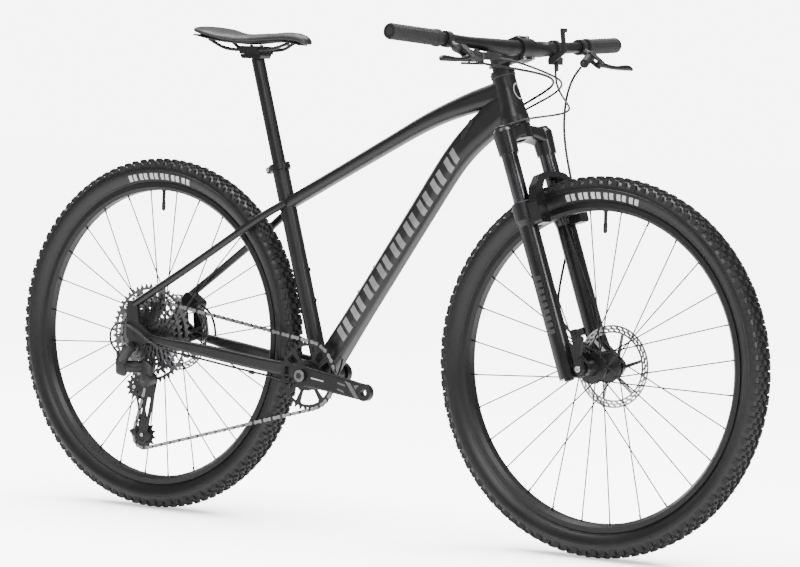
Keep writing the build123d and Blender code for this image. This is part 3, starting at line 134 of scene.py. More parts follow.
MATERIALS = {
    "paint": finish("frame_paint", (0.006, 0.006, 0.0065), 0.36, grain=900, bump=0.06, coat=0.1),
    "fork": finish("fork_paint", (0.006, 0.006, 0.0065), 0.26, grain=900, bump=0.03, coat=0.2),
    "alloy": finish("black_alloy", (0.010, 0.010, 0.0105), 0.36, metallic=0.2, grain=1200, bump=0.08),
    "crank": finish("crank_alloy", (0.022, 0.022, 0.023), 0.34, metallic=0.5, grain=1200, bump=0.1),
    "crank_light": finish("crank_panel", (0.15, 0.15, 0.155), 0.36, metallic=0.4, grain=1200, bump=0.1),
    "black_steel": finish("black_steel", (0.03, 0.03, 0.031), 0.33, metallic=0.6, grain=900, bump=0.05),
    "spoke": finish("spoke_black", (0.004, 0.004, 0.004), 0.55, grain=900, bump=0.03),
    "steel": finish("plain_steel", (0.55, 0.55, 0.56), 0.3, metallic=1.0, grain=900, bump=0.08, vary=0.12),
    "chain": finish("chain_steel", (0.30, 0.30, 0.31), 0.30, metallic=1.0, grain=700, bump=0.06),
    # Painted shade: a much darker copy of the chain steel for the inner plates and rollers, standing in for
    # the shade between the plates.
    "chain_painted_shade": finish("chain_inner_painted_shade", (0.06, 0.06, 0.062), 0.4, metallic=1.0, grain=700, bump=0.06),
    "cassette": finish("cassette_steel", (0.16, 0.16, 0.165), 0.32, metallic=0.9, grain=700, bump=0.06),
    "stanchion": finish("black_stanchion", (0.11, 0.11, 0.115), 0.17, metallic=1.0, grain=300, bump=0.0),
    "plastic": finish("black_plastic", (0.016, 0.016, 0.017), 0.42, grain=700, bump=0.18),
    "rubber": finish("grip_rubber", (0.016, 0.016, 0.016), 0.62, grain=900, bump=0.3),
    "hose": finish("hose_jacket", (0.010, 0.010, 0.011), 0.3, grain=500, bump=0.03),
    "casing": finish("tyre_casing", (0.006, 0.006, 0.006), 0.42, grain=260, bump=0.12),
    "knob": finish("tyre_knob", (0.011, 0.011, 0.011), 0.66, grain=500, bump=0.4, vary=0.4),
    "saddle": finish("saddle_cover", (0.015, 0.015, 0.015), 0.44, grain=1100, bump=0.25),
    "silver": finish("silver_bolt", (0.6, 0.6, 0.61), 0.25, metallic=1.0, grain=900, bump=0.05),
    "mark": finish("grey_graphic", (0.26, 0.26, 0.265), 0.4, metallic=0.2, grain=700, bump=0.05),
    "dim_mark": finish("dark_graphic", (0.045, 0.045, 0.046), 0.45, grain=700, bump=0.05),
    "white": finish("pale_graphic", (0.62, 0.62, 0.62), 0.5, grain=700, bump=0.05),
    "seal": finish("wiper_seal", (0.012, 0.012, 0.012), 0.55, grain=500, bump=0.1),
}

FINISH_OF = {
    "paint": ("head_tube", "top_tube", "down_tube", "seat_tube", "bottom_bracket_shell", "chainstays",
              "seatstays", "dropouts"),
    "fork": ("fork_crown", "fork_lowers"),
    "stanchion": ("fork_stanchions",),
    "alloy": ("seat_clamp", "bearing_cups", "seatpost", "rail_clamp", "headset_spacers", "stem",
              "handlebar", "front_hub", "rear_hub", "front_rim", "rear_rim", "front_axle", "rear_axle",
              "brake_lever_left", "brake_lever_right", "front_brake_caliper",
              "rear_brake_caliper", "derailleur_linkage"),
    "spoke": ("front_spokes", "rear_spokes"),
    "black_steel": ("saddle_rails", "chainring", "derailleur_cage"),
    "steel": ("front_rotor", "rear_rotor"),
    "cassette": ("cassette",),
    "crank": ("crank_arm_right", "crank_arm_left", "front_axle_lever"),
    "plastic": ("saddle_shell", "brake_masters", "shifter_body", "lockout_body", "lockout_lever",
                "shift_lever_main", "shift_lever_release", "derailleur_base", "derailleur_knuckle",
                "guide_pulley", "tension_pulley"),
}
for key, names in FINISH_OF.items():
    for name in names:
        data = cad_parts[name].data
        data.materials.clear()
        data.materials.append(MATERIALS[key])


# ---- Mesh helpers
def piece(name, mesh_builder, material, body, smooth=35):
    """Object from a bmesh, with its finish, riding on a body."""
    mesh = bpy.data.meshes.new(name)
    mesh_builder.to_mesh(mesh)
    mesh_builder.free()
    obj = bpy.data.objects.new(name, mesh)
    bpy.context.scene.collection.objects.link(obj)
    mesh.materials.append(MATERIALS[material])
    if smooth:
        mesh.polygons.foreach_set("use_smooth", [True] * len(mesh.polygons))
        mesh.set_sharp_from_angle(angle=math.radians(smooth))
    if body:
        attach(obj, body)
    return obj


def basis(direction, hint=Vector((0, 0, 1))):
    """Two unit vectors square to a direction."""
    along = direction.normalized()
    across = along.cross(hint)
    if across.length < 1e-4:
        across = along.cross(Vector((1, 0, 0)))
    across.normalize()
    return across, across.cross(along).normalized()


def bridge(bm, a, b):
    """Band of faces between two closed rings with as many points each."""
    for i in range(len(a)):
        j = (i + 1) % len(a)
        bm.faces.new((a[i], a[j], b[j], b[i]))


def sheet(bm, rows):
    """Open grid of faces over rows of points."""
    for a, b in zip(rows, rows[1:]):
        for j in range(len(a) - 1):
            bm.faces.new((a[j], b[j], b[j + 1], a[j + 1]))


def turned(bm, centre, axis, profile, steps=32, closed=False):
    """Solid of revolution: profile is (radius, distance along the axis)."""
    across, other = basis(axis)
    along = axis.normalized()
    rings = []
    for k in range(steps):
        angle = 2 * math.pi * k / steps
        out = across * math.cos(angle) + other * math.sin(angle)
        rings.append([bm.verts.new(centre + out * r + along * h) for r, h in profile])
    rows = len(profile)
    last = rows if closed else rows - 1
    for k in range(steps):
        a = rings[k]
        b = rings[(k + 1) % steps]
        for i in range(last):
            j = (i + 1) % rows
            bm.faces.new((a[i], b[i], b[j], a[j]))
    if not closed:
        bm.faces.new([ring[0] for ring in rings])
        bm.faces.new([ring[-1] for ring in reversed(rings)])


def bolt(bm, centre, axis, radius, height):
    """Round socket-head bolt standing out of a surface along the axis."""
    dish = radius * 0.45
    profile = [(radius, 0), (radius, height * 0.8), (radius * 0.88, height),
               (dish, height), (dish * 0.9, height * 0.35), (dish * 0.1, height * 0.3)]
    turned(bm, centre, axis, profile, 20)


def tube(bm, points, radius, steps=14):
    """Round tube through a line of points, with flat ends."""
    rings = []
    hint = Vector((0.13, 0.21, 0.97))
    for k, point in enumerate(points):
        before = points[max(k - 1, 0)]
        after = points[min(k + 1, len(points) - 1)]
        along = (after - before).normalized()
        across = along.cross(hint)
        across.normalize()
        other = across.cross(along)
        hint = other
        ring = []
        for i in range(steps):
            angle = 2 * math.pi * i / steps
            ring.append(bm.verts.new(point + (across * math.cos(angle) + other * math.sin(angle)) * radius))
        rings.append(ring)
    for a, b in zip(rings, rings[1:]):
        bridge(bm, a, b)
    bm.faces.new(list(reversed(rings[0])))
    bm.faces.new(rings[-1])


BALL_BANDS = 8
BALL_SIDES = 16


def ball_hull(bm, balls):
    """Smooth closed body stretched over balls, each (x, y, z, radius)."""
    points = []
    for x, y, z, radius in balls:
        for k in range(BALL_BANDS + 1):
            lift = math.radians(-90 + 180 / BALL_BANDS * k)
            around = 1 if k in (0, BALL_BANDS) else BALL_SIDES
            for i in range(around):
                angle = 2 * math.pi * i / around
                points.append(bm.verts.new((x + radius * math.cos(lift) * math.cos(angle),
                                            y + radius * math.cos(lift) * math.sin(angle),
                                            z + radius * math.sin(lift))))
    hull = bmesh.ops.convex_hull(bm, input=points)
    kept = {item for item in hull["geom"] if isinstance(item, bmesh.types.BMVert)}
    bmesh.ops.delete(bm, geom=[v for v in points if v not in kept], context="VERTS")


def ball_chain(bm, balls):
    """Bar of changing thickness through a row of balls."""
    for pair in zip(balls, balls[1:]):
        ball_hull(bm, pair)


def nurbs_line(points, resolution=10):
    """Points read from a smooth NURBS line through control points."""
    curve = bpy.data.curves.new("route", "CURVE")
    curve.dimensions = "3D"
    spline = curve.splines.new("NURBS")
    spline.points.add(len(points) - 1)
    for slot_point, point in zip(spline.points, points):
        slot_point.co = (*point, 1)
    spline.order_u = 3
    spline.use_endpoint_u = True
    spline.resolution_u = resolution
    obj = bpy.data.objects.new("route", curve)
    bpy.context.scene.collection.objects.link(obj)
    bpy.context.view_layer.update()
    line = bpy.data.meshes.new_from_object(obj)
    read = [v.co.copy() for v in line.vertices]
    bpy.data.objects.remove(obj)
    bpy.data.meshes.remove(line)
    return read


def millimetres(points):
    """Points given in millimetres, as vectors in metres."""
    return [Vector(p) / 1000 for p in points]


def bar_point(y, forward=0.0, up=0.0):
    """Point on the handlebar's centre line at a distance from its middle, or moved off it."""
    share = max(0.0, (abs(y) - BAR_KNEE) / (BAR_HALF - BAR_KNEE))
    return Vector((BAR_CENTRE.x - BAR_SWEEP * share + forward, y, BAR_CENTRE.z + BAR_RISE * share + up))


def bar_direction(side):
    """Unit vector along the bar's end, outwards."""
    return (bar_point(side * BAR_HALF) - bar_point(side * BAR_KNEE)).normalized()


def head_point(forward, side, up):
    """Point in the steering axis's own directions, from the middle of the head tube."""
    return HEAD_MID + HEAD_FORWARD * forward + Vector((0, side, 0)) + HEAD_UP * up


# ---- Tyres and wheels
SIDEWALL = [(0.0126, 0.3125), (0.0140, 0.3175), (0.0185, 0.3215), (0.0238, 0.3290), (0.0266, 0.3370)]
TREAD = [(0.0262, 0.3445), (0.0232, 0.3515), (0.0175, 0.3568), (0.0095, 0.3601), (0.0, TREAD_R - 0.0048)]
CASING_WALL = 0.0035
KNOB_ROOT = 0.0012
TYRE_STEPS = 200


def casing_profile():
    """(y, radius) from the left bead over the crown to the right bead."""
    half = SIDEWALL + TREAD
    return half + [(-y, r) for y, r in reversed(half[:-1])]


def surface_at(y):
    """Casing radius at a distance from the wheel's mid plane, tread part only."""
    outwards = TREAD[::-1]
    for (y0, r0), (y1, r1) in zip(outwards, outwards[1:]):
        if abs(y) <= y1:
            return r0 + (r1 - r0) * (abs(y) - y0) / (y1 - y0)
    return outwards[-1][1]


def wheel_point(hub, radius, angle, y):
    """Point on a wheel whose axle is at x = hub."""
    return Vector((hub + radius * math.cos(angle), y, AXLE_Z + radius * math.sin(angle)))


def knob(bm, hub, angle, y, length, width, top, skew=0.0):
    """Moulded tread block, narrower at its top, set on the casing."""
    rings = []
    for share, size in ((0, 1.12), (0.55, 1.0), (0.9, 0.92), (1, 0.8)):
        ring = []
        for du, dv in ((-0.5, -0.5), (-0.5, 0.0), (-0.5, 0.5), (0.5, 0.5), (0.5, 0.0), (0.5, -0.5)):
            aside = y + dv * width * size
            base = surface_at(aside) - KNOB_ROOT
            radius = base + (top - base) * share
            turn = angle + (du * length * size + skew * dv * width) / radius
            ring.append(bm.verts.new(wheel_point(hub, radius, turn, aside)))
        rings.append(ring)
    for a, b in zip(rings, rings[1:]):
        bridge(bm, a, b)
    bm.faces.new(rings[-1])


def tyre_casing(name, hub, node, body):
    """The tyre's skin, hollow and open at its beads."""
    profile = casing_profile()
    inner = [(y * 0.86, r - CASING_WALL if r > 0.33 else r + 0.0005) for y, r in profile]
    bm = bmesh.new()
    rings = []
    for k in range(TYRE_STEPS):
        angle = 2 * math.pi * k / TYRE_STEPS
        rings.append([bm.verts.new(wheel_point(hub, r, angle, y)) for y, r in profile + inner[::-1]])
    for k in range(TYRE_STEPS):
        bridge(bm, rings[k], rings[(k + 1) % TYRE_STEPS])
    casing = piece(name + "_casing", bm, "casing", body, smooth=50)
    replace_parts(casing, node)


def tyre_tread(name, hub, body, seed):
    """Rows of tread blocks: at the centre, between, and at the shoulders."""
    bm = bmesh.new()
    rng = random.Random(seed)
    pitches = 104
    step = 2 * math.pi / pitches
    for k in range(pitches):
        wide = k % 2 == 0
        for side in (1, -1):
            offset = step * k + (0.0 if side > 0 else 0.5 * step)
            knob(bm, hub, offset, y=side * (0.0046 if wide else 0.0056), length=0.0100, width=0.0072,
                 top=TREAD_R - 0.0002, skew=side * 0.25)
            knob(bm, hub, offset + 0.5 * step, y=side * 0.0138, length=0.0085 if wide else 0.0105,
                 width=0.0064, top=0.3632, skew=side * -0.2)
            knob(bm, hub, offset + 0.02 * step, y=side * (0.0216 if wide else 0.0207),
                 length=0.0125 if wide else 0.0095, width=0.0066, top=0.3592 + rng.uniform(0, 0.0002))
    piece(name + "_knobs", bm, "knob", body, smooth=25)


def ring_band(bm, hub, radius, y, height, width):
    """Thin raised rib round a tyre's sidewall."""
    profile = [(radius - height / 2, y), (radius, y + width), (radius + height / 2, y)]
    turned(bm, Vector((hub, 0, AXLE_Z)), Vector((0, 1, 0)), profile, TYRE_STEPS, closed=True)


def sidewall_ribs(bm, hub):
    """Rim protector and upper rib on both sides of a tyre."""
    for side in (1, -1):
        ring_band(bm, hub, 0.3195, y=side * 0.0163, height=0.0012, width=side * 0.0009)
        ring_band(bm, hub, 0.3412, y=side * 0.0266, height=0.0010, width=side * 0.0006)


def valve(bm, hub):
    """Valve stem that points in from the rim at the top of the wheel."""
    base = Vector((hub, 0, AXLE_Z + RIM_R - 0.0150))
    turned(bm, base, Vector((0, 0, -1)),
           [(0.0055, 0), (0.0055, 0.002), (0.0036, 0.004), (0.0034, 0.026), (0.0042, 0.027),
            (0.0042, 0.041), (0.0026, 0.0445)], 20)


def nipples(bm, hub):
    """One nipple on every spoke end."""
    step = 2 * math.pi / SPOKES_PER_SIDE
    for side in (1, -1):
        for index in range(SPOKES_PER_SIDE):
            angle = (index + 0.25 * side) * step
            inwards = Vector((-math.cos(angle), 0, -math.sin(angle)))
            start = wheel_point(hub, 0.3000, angle, side * 0.0024)
            turned(bm, start, inwards, [(0.0017, 0), (0.0017, 0.003), (0.0014, 0.009), (0.0012, 0.010)], 12)


def rotor_bolts(bm, hub):
    """Six bolts on the left of a hub's brake disc."""
    y = ROTOR_Y["front" if hub > 0 else "rear"]
    for index in range(6):
        angle = math.radians(60 * index + 30)
        bolt(bm, wheel_point(hub, 0.022, angle, y), Vector((0, 1, 0)), 0.0045, 0.0022)


WHEEL_PIECES = (("_sidewall_ribs", sidewall_ribs, "casing", "tyre"),
                ("_valve", valve, "alloy", "black_alloy"),
                ("_nipples", nipples, "spoke", "black_steel"),
                ("_rotor_bolts", rotor_bolts, "black_steel", "black_steel"))
for label, hub, seed in (("front", FRONT_X, 11), ("rear", REAR_X, 12)):
    wheel = label + "_wheel"
    tyre_casing(label + "_tyre_skin", hub, label + "_tyre", wheel)
    tyre_tread(label + "_tyre_skin", hub, wheel, seed)
    for ending, draw, material, slot in WHEEL_PIECES:
        bm = bmesh.new()
        draw(bm, hub)
        piece(label + ending, bm, material, wheel)


# ---- Chain
LINK_END_R = 0.0041
LINK_WAIST = 0.0026
OUTER_PLATE = (0.00185, 0.00258)
INNER_PLATE = (0.00108, 0.00182)


def pitch_radius(teeth):
    """Radius of the circle through a sprocket's chain pins."""
    return PITCH / (2 * math.sin(math.pi / teeth))


# One sprocket of the chain's loop, the angle round it that the chain covers, and the run after it.
Wrap = namedtuple("Wrap", "centre radius sense y teeth arrive angle heading run")


def chain_wraps():
    """Every sprocket in the order the chain runs; sense +1 is anticlockwise seen from the right."""
    sprockets = ((BB, -1, RING_Y, RING_TEETH), (TENSION_PULLEY, -1, COG_Y, 14), (GUIDE_PULLEY, 1, COG_Y, 12),
                 (Vector((REAR_X, 0, AXLE_Z)), -1, COG_Y, COG_TEETH))
    headings = []
    runs = []
    for index, (centre, sense, _, teeth) in enumerate(sprockets):
        after, after_sense, _, after_teeth = sprockets[(index + 1) % len(sprockets)]
        gap = after - centre
        span = math.hypot(gap.x, gap.z)
        drop = after_sense * pitch_radius(after_teeth) - sense * pitch_radius(teeth)
        headings.append(math.atan2(gap.z, gap.x) - math.asin(drop / span))
        runs.append(math.sqrt(span ** 2 - drop ** 2))
    wraps = []
    for index, (centre, sense, y, teeth) in enumerate(sprockets):
        arrive = headings[index - 1] - sense * math.pi / 2
        leave = headings[index] - sense * math.pi / 2
        angle = (sense * (leave - arrive)) % (2 * math.pi)
        wraps.append(Wrap(centre, pitch_radius(teeth), sense, y, teeth, arrive, angle, headings[index],
                          runs[index]))
    return wraps


def sprocket_point(wrap, angle):
    """Point on a sprocket's pitch circle."""
    return Vector((wrap.centre.x + wrap.radius * math.cos(angle), wrap.y,
                   wrap.centre.z + wrap.radius * math.sin(angle)))


def chain_point(wraps, count):
    """Pin centre after a number of pitches round the loop."""
    for index, wrap in enumerate(wraps):
        arc = wrap.angle * wrap.teeth / (2 * math.pi)
        if count <= arc:
            return sprocket_point(wrap, wrap.arrive + wrap.sense * count * 2 * math.pi / wrap.teeth)
        count -= arc
        if count <= wrap.run / PITCH:
            out = sprocket_point(wrap, wrap.arrive + wrap.sense * wrap.angle)
            ahead = Vector((math.cos(wrap.heading), 0, math.sin(wrap.heading)))
            aside = wraps[(index + 1) % len(wraps)].y - wrap.y
            return out + ahead * count * PITCH + Vector((0, aside * count * PITCH / wrap.run, 0))
        count -= wrap.run / PITCH
    return chain_point(wraps, count)


def link_plate(bm, start, end, y_low, y_high):
    """Figure-of-eight side plate between two pins."""
    along = end - start
    middle = (start + end) / 2
    flat = Vector((along.x, 0, along.z))
    half = flat.length / 2
    ahead = flat.normalized()
    up = Vector((-ahead.z, 0, ahead.x))
    outline = []
    for centre, first_angle, waist in ((half, -78, LINK_WAIST), (-half, 102, -LINK_WAIST)):
        for k in range(7):
            angle = math.radians(first_angle + 26 * k)
            outline.append((centre + LINK_END_R * math.cos(angle), LINK_END_R * math.sin(angle)))
        outline.append((0.0, waist))
    slope = along.y / flat.length
    faces = []
    for y in (y_low, y_high):
        faces.append([bm.verts.new(middle + ahead * u + up * v + Vector((0, y + slope * u, 0)))
                      for u, v in outline])
    bridge(bm, *faces)
    bm.faces.new(faces[0][::-1])
    bm.faces.new(faces[1])


def build_chain():
    """Roller chain: inner and outer links by turns, with rollers and pins; the inner plates and rollers take
    a much darker copy of the chain steel, painted shade between the plates.
    """
    wraps = chain_wraps()
    total = sum(wrap.angle * wrap.teeth / (2 * math.pi) + wrap.run / PITCH for wrap in wraps)
    links = round(total / 2) * 2
    pins = [chain_point(wraps, k * total / links) for k in range(links)]
    bm = bmesh.new()
    inner = bmesh.new()
    for k, start in enumerate(pins):
        end = pins[(k + 1) % links]
        outer = k % 2 == 0
        low, high = OUTER_PLATE if outer else INNER_PLATE
        for side in (1, -1):
            link_plate(bm if outer else inner, start, end, side * low, side * high)
        turned(inner, start - Vector((0, 0.0011, 0)), Vector((0, 1, 0)),
               [(0.0036, 0), (0.0036, 0.0022)], 12)
        turned(bm, start - Vector((0, 0.00275, 0)), Vector((0, 1, 0)),
               [(0.0016, 0), (0.0018, 0.0002), (0.0018, 0.0053), (0.0016, 0.0055)], 10)
    bmesh.ops.recalc_face_normals(bm, faces=bm.faces)
    bmesh.ops.recalc_face_normals(inner, faces=inner.faces)
    chain = piece("link_chain", bm, "chain", "frame", smooth=30)
    # Inner plates and rollers in the darker copy of the chain steel: painted shade between the plates.
    piece("link_chain_inner_painted_shade", inner, "chain_painted_shade", "frame", smooth=30)
    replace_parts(chain, "chain")


build_chain()


# ---- Saddle
SADDLE_TAIL = -0.1268
SADDLE_NOSE = 0.1375
CHANNEL_DEPTH = 0.0028
CHANNEL_HALF = 0.007


def saddle_shape(x):
    """(half width, top height, thickness, crown) of the padding at x ahead of the clamp."""
    stations = [
        (SADDLE_TAIL, 0.046, 0.0500, 0.012, 0.3), (-0.118, 0.0630, 0.0510, 0.017, 0.35),
        (-0.090, 0.0685, 0.0480, 0.021, 0.5), (-0.060, 0.0590, 0.0415, 0.022, 0.6),
        (-0.030, 0.0420, 0.0375, 0.023, 0.7), (0.0, 0.0310, 0.0372, 0.023, 0.8),
        (0.040, 0.0240, 0.0395, 0.021, 0.9), (0.080, 0.0208, 0.0415, 0.020, 1.0),
        (0.110, 0.0192, 0.0395, 0.020, 1.0), (0.128, 0.0168, 0.0345, 0.019, 1.0),
        (SADDLE_NOSE, 0.0095, 0.0262, 0.011, 1.0),
    ]
    for low, high in zip(stations, stations[1:]):
        if x <= high[0] + 1e-9:
            share = (x - low[0]) / (high[0] - low[0])
            smooth = share * share * (3 - 2 * share) * 0.4 + share * 0.6
            return [a + (b - a) * smooth for a, b in zip(low[1:], high[1:])]
    return list(stations[-1][1:])


def saddle_section(x, angle):
    """Point on the cover's outline x ahead of the clamp, at an angle round it."""
    half, top, thick, crown = saddle_shape(x)
    across = math.cos(angle)
    lift = math.sin(angle)
    y = half * math.copysign(abs(across) ** 0.72, across)
    if lift <= 0:
        return Vector((x, y, top - thick * 0.55 - thick * 0.45 * abs(lift) ** 0.8))
    z = top - thick * 0.45 * crown * (abs(y) / half) ** 2.4 - thick * 0.42 * (1 - lift ** 0.55)
    channel = math.exp(-(y / CHANNEL_HALF) ** 2) * CHANNEL_DEPTH
    fade = min(1, (0.09 - x) / 0.03, (x + 0.10) / 0.03)
    return Vector((x, y, z - channel * max(0, fade)))


def build_saddle():
    """Cover: a crowned top with a shallow centre channel, turned under all round."""
    rows = 44
    around = 28
    bm = bmesh.new()
    rings = []
    for k in range(rows):
        x = SADDLE_TAIL + (SADDLE_NOSE - SADDLE_TAIL) * k / (rows - 1)
        rings.append([bm.verts.new(SADDLE_CLAMP + saddle_section(x, 2 * math.pi * (i + 0.5) / around))
                      for i in range(around)])
    for a, b in zip(rings, rings[1:]):
        bridge(bm, a, b)
    for ring in (rings[0], rings[-1]):
        centre = sum((v.co for v in ring), Vector()) / around
        hub_vert = bm.verts.new(centre)
        for i in range(around):
            j = (i + 1) % around
            bm.faces.new((ring[i], ring[j], hub_vert))
    bmesh.ops.recalc_face_normals(bm, faces=bm.faces)
    cover = piece("saddle_padding", bm, "saddle", "seatpost", smooth=60)
    rounding = cover.modifiers.new("round", "SUBSURF")
    rounding.levels = 1
    rounding.render_levels = 1
    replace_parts(cover, "saddle_cover")


build_saddle()


# ---- Grips
GRIP_LENGTH = 0.1365
COLLAR_END = 0.009
FIELD_START = 0.012
FIELD_END = 0.126
DIAMONDS_ROUND = 9
DIAMOND_LENGTH = 0.0085
RIB_PITCH = 0.0042


def grip_radius(reach, angle):
    """Grip radius at a distance from its inner end and an angle round it."""
    if reach < COLLAR_END:
        return 0.0169 if reach > 0.001 else 0.0160
    if reach < FIELD_START:
        return 0.0146
    if reach >= FIELD_END:
        return 0.0146 if reach > GRIP_LENGTH - 0.0015 else 0.0156
    if math.sin(angle) < -0.5:
        return 0.0155 if (reach / RIB_PITCH) % 1 < 0.55 else 0.0148
    u = angle * DIAMONDS_ROUND / (2 * math.pi)
    v = reach / DIAMOND_LENGTH
    weave = abs((u + v) % 1 - 0.5) + abs((u - v) % 1 - 0.5)
    return 0.01475 + 0.0008 * min(1.0, max(0.0, (weave - 0.25) * 4))


def build_grip(side, name):
    """Moulded grip: collar, knurled diamond field, ribs beneath and a flat end cap."""
    inner = bar_point(side * (BAR_HALF - 0.136))
    along = bar_direction(side)
    across, other = basis(along)
    rows = 96
    around = 72
    bm = bmesh.new()
    rings = []
    for k in range(rows + 1):
        reach = GRIP_LENGTH * k / rows
        ring = []
        for i in range(around):
            angle = 2 * math.pi * i / around
            out = across * math.cos(angle) + other * math.sin(angle)
            ring.append(bm.verts.new(inner + along * reach + out * grip_radius(reach, angle)))
        rings.append(ring)
    for a, b in zip(rings, rings[1:]):
        bridge(bm, a, b)
    bm.faces.new(rings[0][::-1])
    bm.faces.new(rings[-1])
    bmesh.ops.recalc_face_normals(bm, faces=bm.faces)
    return piece(name, bm, "rubber", "steering", smooth=25)


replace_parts(build_grip(1, "grip_left"), "grips")
build_grip(-1, "grip_right")


# ---- Hoses and cables
def hose(name, points, radius, body=None, node=None, crossing=None):
    """Hose along a smooth line; crossing = (body a, body b, start, end) where it spans a joint, not used
    beyond whether it is given, and then the hose rides on no body.
    """
    line = nurbs_line(millimetres(points))
    bm = bmesh.new()
    tube(bm, line, radius)
    bmesh.ops.recalc_face_normals(bm, faces=bm.faces)
    obj = piece(name, bm, "hose", body, smooth=60)
    if crossing:
        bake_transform(obj)
    if node:
        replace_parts(obj, node)


FRONT_HOSE = [
    (365, 178, 941), (361, 164, 927), (360, 148, 905), (364, 130, 878), (370, 116, 846), (378, 105, 812),
    (389, 98, 772), (402, 95, 730), (414, 93.5, 690), (419, 91, 650), (414, 87.5, 610), (406, 83, 572),
    (401, 78, 534), (399, 72, 499), (401, 67, 471), (409, 62.5, 450), (423, 59.5, 435.5),
    (438.4, 58.7, 425.2),
]
REAR_HOSE_FRONT = [
    (365, -178, 941), (372, -160, 937), (384, -128, 934), (398, -88, 930), (410, -48, 925),
    (415, -12, 919), (410, 16, 911), (393, 34, 900), (366, 40, 886), (336, 40, 870), (310, 38, 856),
    (286, 33, 846), (266, 25, 840),
]
REAR_HOSE_BACK = [
    (-485, 60, 425.5), (-472, 61, 417.5), (-462, 63, 405), (-457, 65.5, 390), (-455.5, 68, 376),
    (-456, 70, 363.6),
]
SHIFT_FRONT = [
    (348, -112, 952), (360, -90, 950), (384, -66, 943), (408, -40, 932), (424, -8, 920), (427, 18, 910),
    (412, 38, 898), (384, 46, 882), (350, 46, 866), (318, 44, 850), (290, 38, 838), (264, 25, 828),
]
SHIFT_BACK = [
    (-60, -12, 344), (-61, -15, 322), (-72, -21, 298), (-94, -27, 282), (-126, -32, 278), (-165, -36, 287),
    (-208, -41.5, 297.5), (-258, -48.5, 305), (-312, -56, 313), (-366, -62.4, 322), (-414, -68, 329),
    (-452, -75, 335), (-484, -84, 343), (-512, -89, 356), (-540, -91, 375), (-568, -92, 388),
    (-592, -92.5, 386), (-606, -93, 370), (-606, -92.5, 350), (-597, -92, 335), (-587.2, -91.7, 327.8),
]
LOCKOUT_CABLE = [
    (345, 118, 932), (347, 116, 918), (356, 110, 900), (374, 101, 882), (396, 88, 867), (413, 70, 857),
    (418, 46, 850), (410, 22, 845), (394, -2, 841), (376, -26, 836), (363, -46, 829), (354, -59, 822),
]

AT_BAR = Vector((0.400, 0.026, 0.905))
AT_FRAME = Vector((0.268, 0.026, 0.840))
AT_CROWN = Vector((0.378, 0.100, 0.80))
AT_LEG = Vector((0.406, 0.083, 0.572))
BAR_TO_FRAME = ("steering", "frame", AT_BAR, AT_FRAME)
CROWN_TO_LEG = ("steering", "fork_lowers", AT_CROWN, AT_LEG)
hose("rear_brake_line_front", REAR_HOSE_FRONT, HOSE_R, crossing=BAR_TO_FRAME)
hose("rear_brake_line_rear", REAR_HOSE_BACK, HOSE_R, body="frame", node="rear_brake_hose")
hose("shift_line_front", SHIFT_FRONT, CABLE_R, crossing=BAR_TO_FRAME)
hose("shift_line_rear", SHIFT_BACK, CABLE_R, body="frame", node="shift_housing")
hose("front_brake_line", FRONT_HOSE, HOSE_R, node="front_brake_hose", crossing=CROWN_TO_LEG)
hose("lockout_line", LOCKOUT_CABLE, CABLE_R, body="steering", node="lockout_cable")


# ---- Small fittings
def fitting(name, material, body, draw, smooth=35):
    """One named piece whose mesh a drawing function fills."""
    bm = bmesh.new()
    draw(bm)
    bmesh.ops.recalc_face_normals(bm, faces=bm.faces)
    return piece(name, bm, material, body, smooth)


def on_legs(height, axis, profile, steps, closed=False):
    """Drawing function for a turned piece on both fork legs, at a height on the head axis."""
    def draw(bm):
        for side in (1, -1):
            turned(bm, head_point(LEG_FORWARD, side * LEG_SIDE, height), axis, profile, steps, closed)
    return draw


WIPER_LIP = [(0.0205, -0.002), (0.0212, 0.0005), (0.0206, 0.0018), (0.0184, 0.0034), (0.0170, 0.0042),
             (0.01615, 0.0042), (0.01615, -0.002)]
LEG_CAP = [(0.0162, 0), (0.0162, 0.0035), (0.0150, 0.0048), (0.0065, 0.0048), (0.0060, 0.0030),
           (0.001, 0.0030)]
FOOT_BOLT = [(0.0095, -0.002), (0.0095, 0.0030), (0.0085, 0.0040), (0.0040, 0.0040), (0.0036, 0.0015),
             (0.0005, 0.0015)]


def draw_bottle_bolts(bm):
    """Bottle cage bolts on the down tube and the seat tube."""
    start = BB + DOWN_UP * 0.190 + DOWN_NORMAL * 0.0286
    for point in (start, start + DOWN_UP * BOSS_PITCH):
        bolt(bm, point, DOWN_NORMAL, 0.0042, 0.0026)
    for height in (0.150, 0.150 + BOSS_PITCH):
        bolt(bm, BB + SEAT_UP * height + SEAT_ACROSS * 0.019, SEAT_ACROSS, 0.0042, 0.0026)


def draw_stem_bolts(bm):
    """Four faceplate bolts, two steerer clamp bolts and the top cap bolt."""
    for side in (1, -1):
        for up in (1, -1):
            at = head_point(0.060 + 0.0068, side * 0.0145, 0.082 + up * 0.0205)
            bolt(bm, at, HEAD_FORWARD, 0.0040, 0.0030)
        bolt(bm, head_point(-0.0145, side * 0.0125, 0.079 + side * 0.010), Vector((0, side, 0)),
             0.0036, 0.0025)
    bolt(bm, head_point(0, 0, 0.1033), HEAD_UP, 0.0045, 0.0022)


def draw_crank_bolts(bm):
    """Ringed bolt at the right end of the crank spindle."""
    turned(bm, Vector((BB.x, -0.0765, BB.z)), Vector((0, -1, 0)),
           [(0.0120, 0), (0.0120, 0.0025), (0.0108, 0.0036), (0.0062, 0.0036), (0.0058, 0.0010),
            (0.0004, 0.0010)], 32)


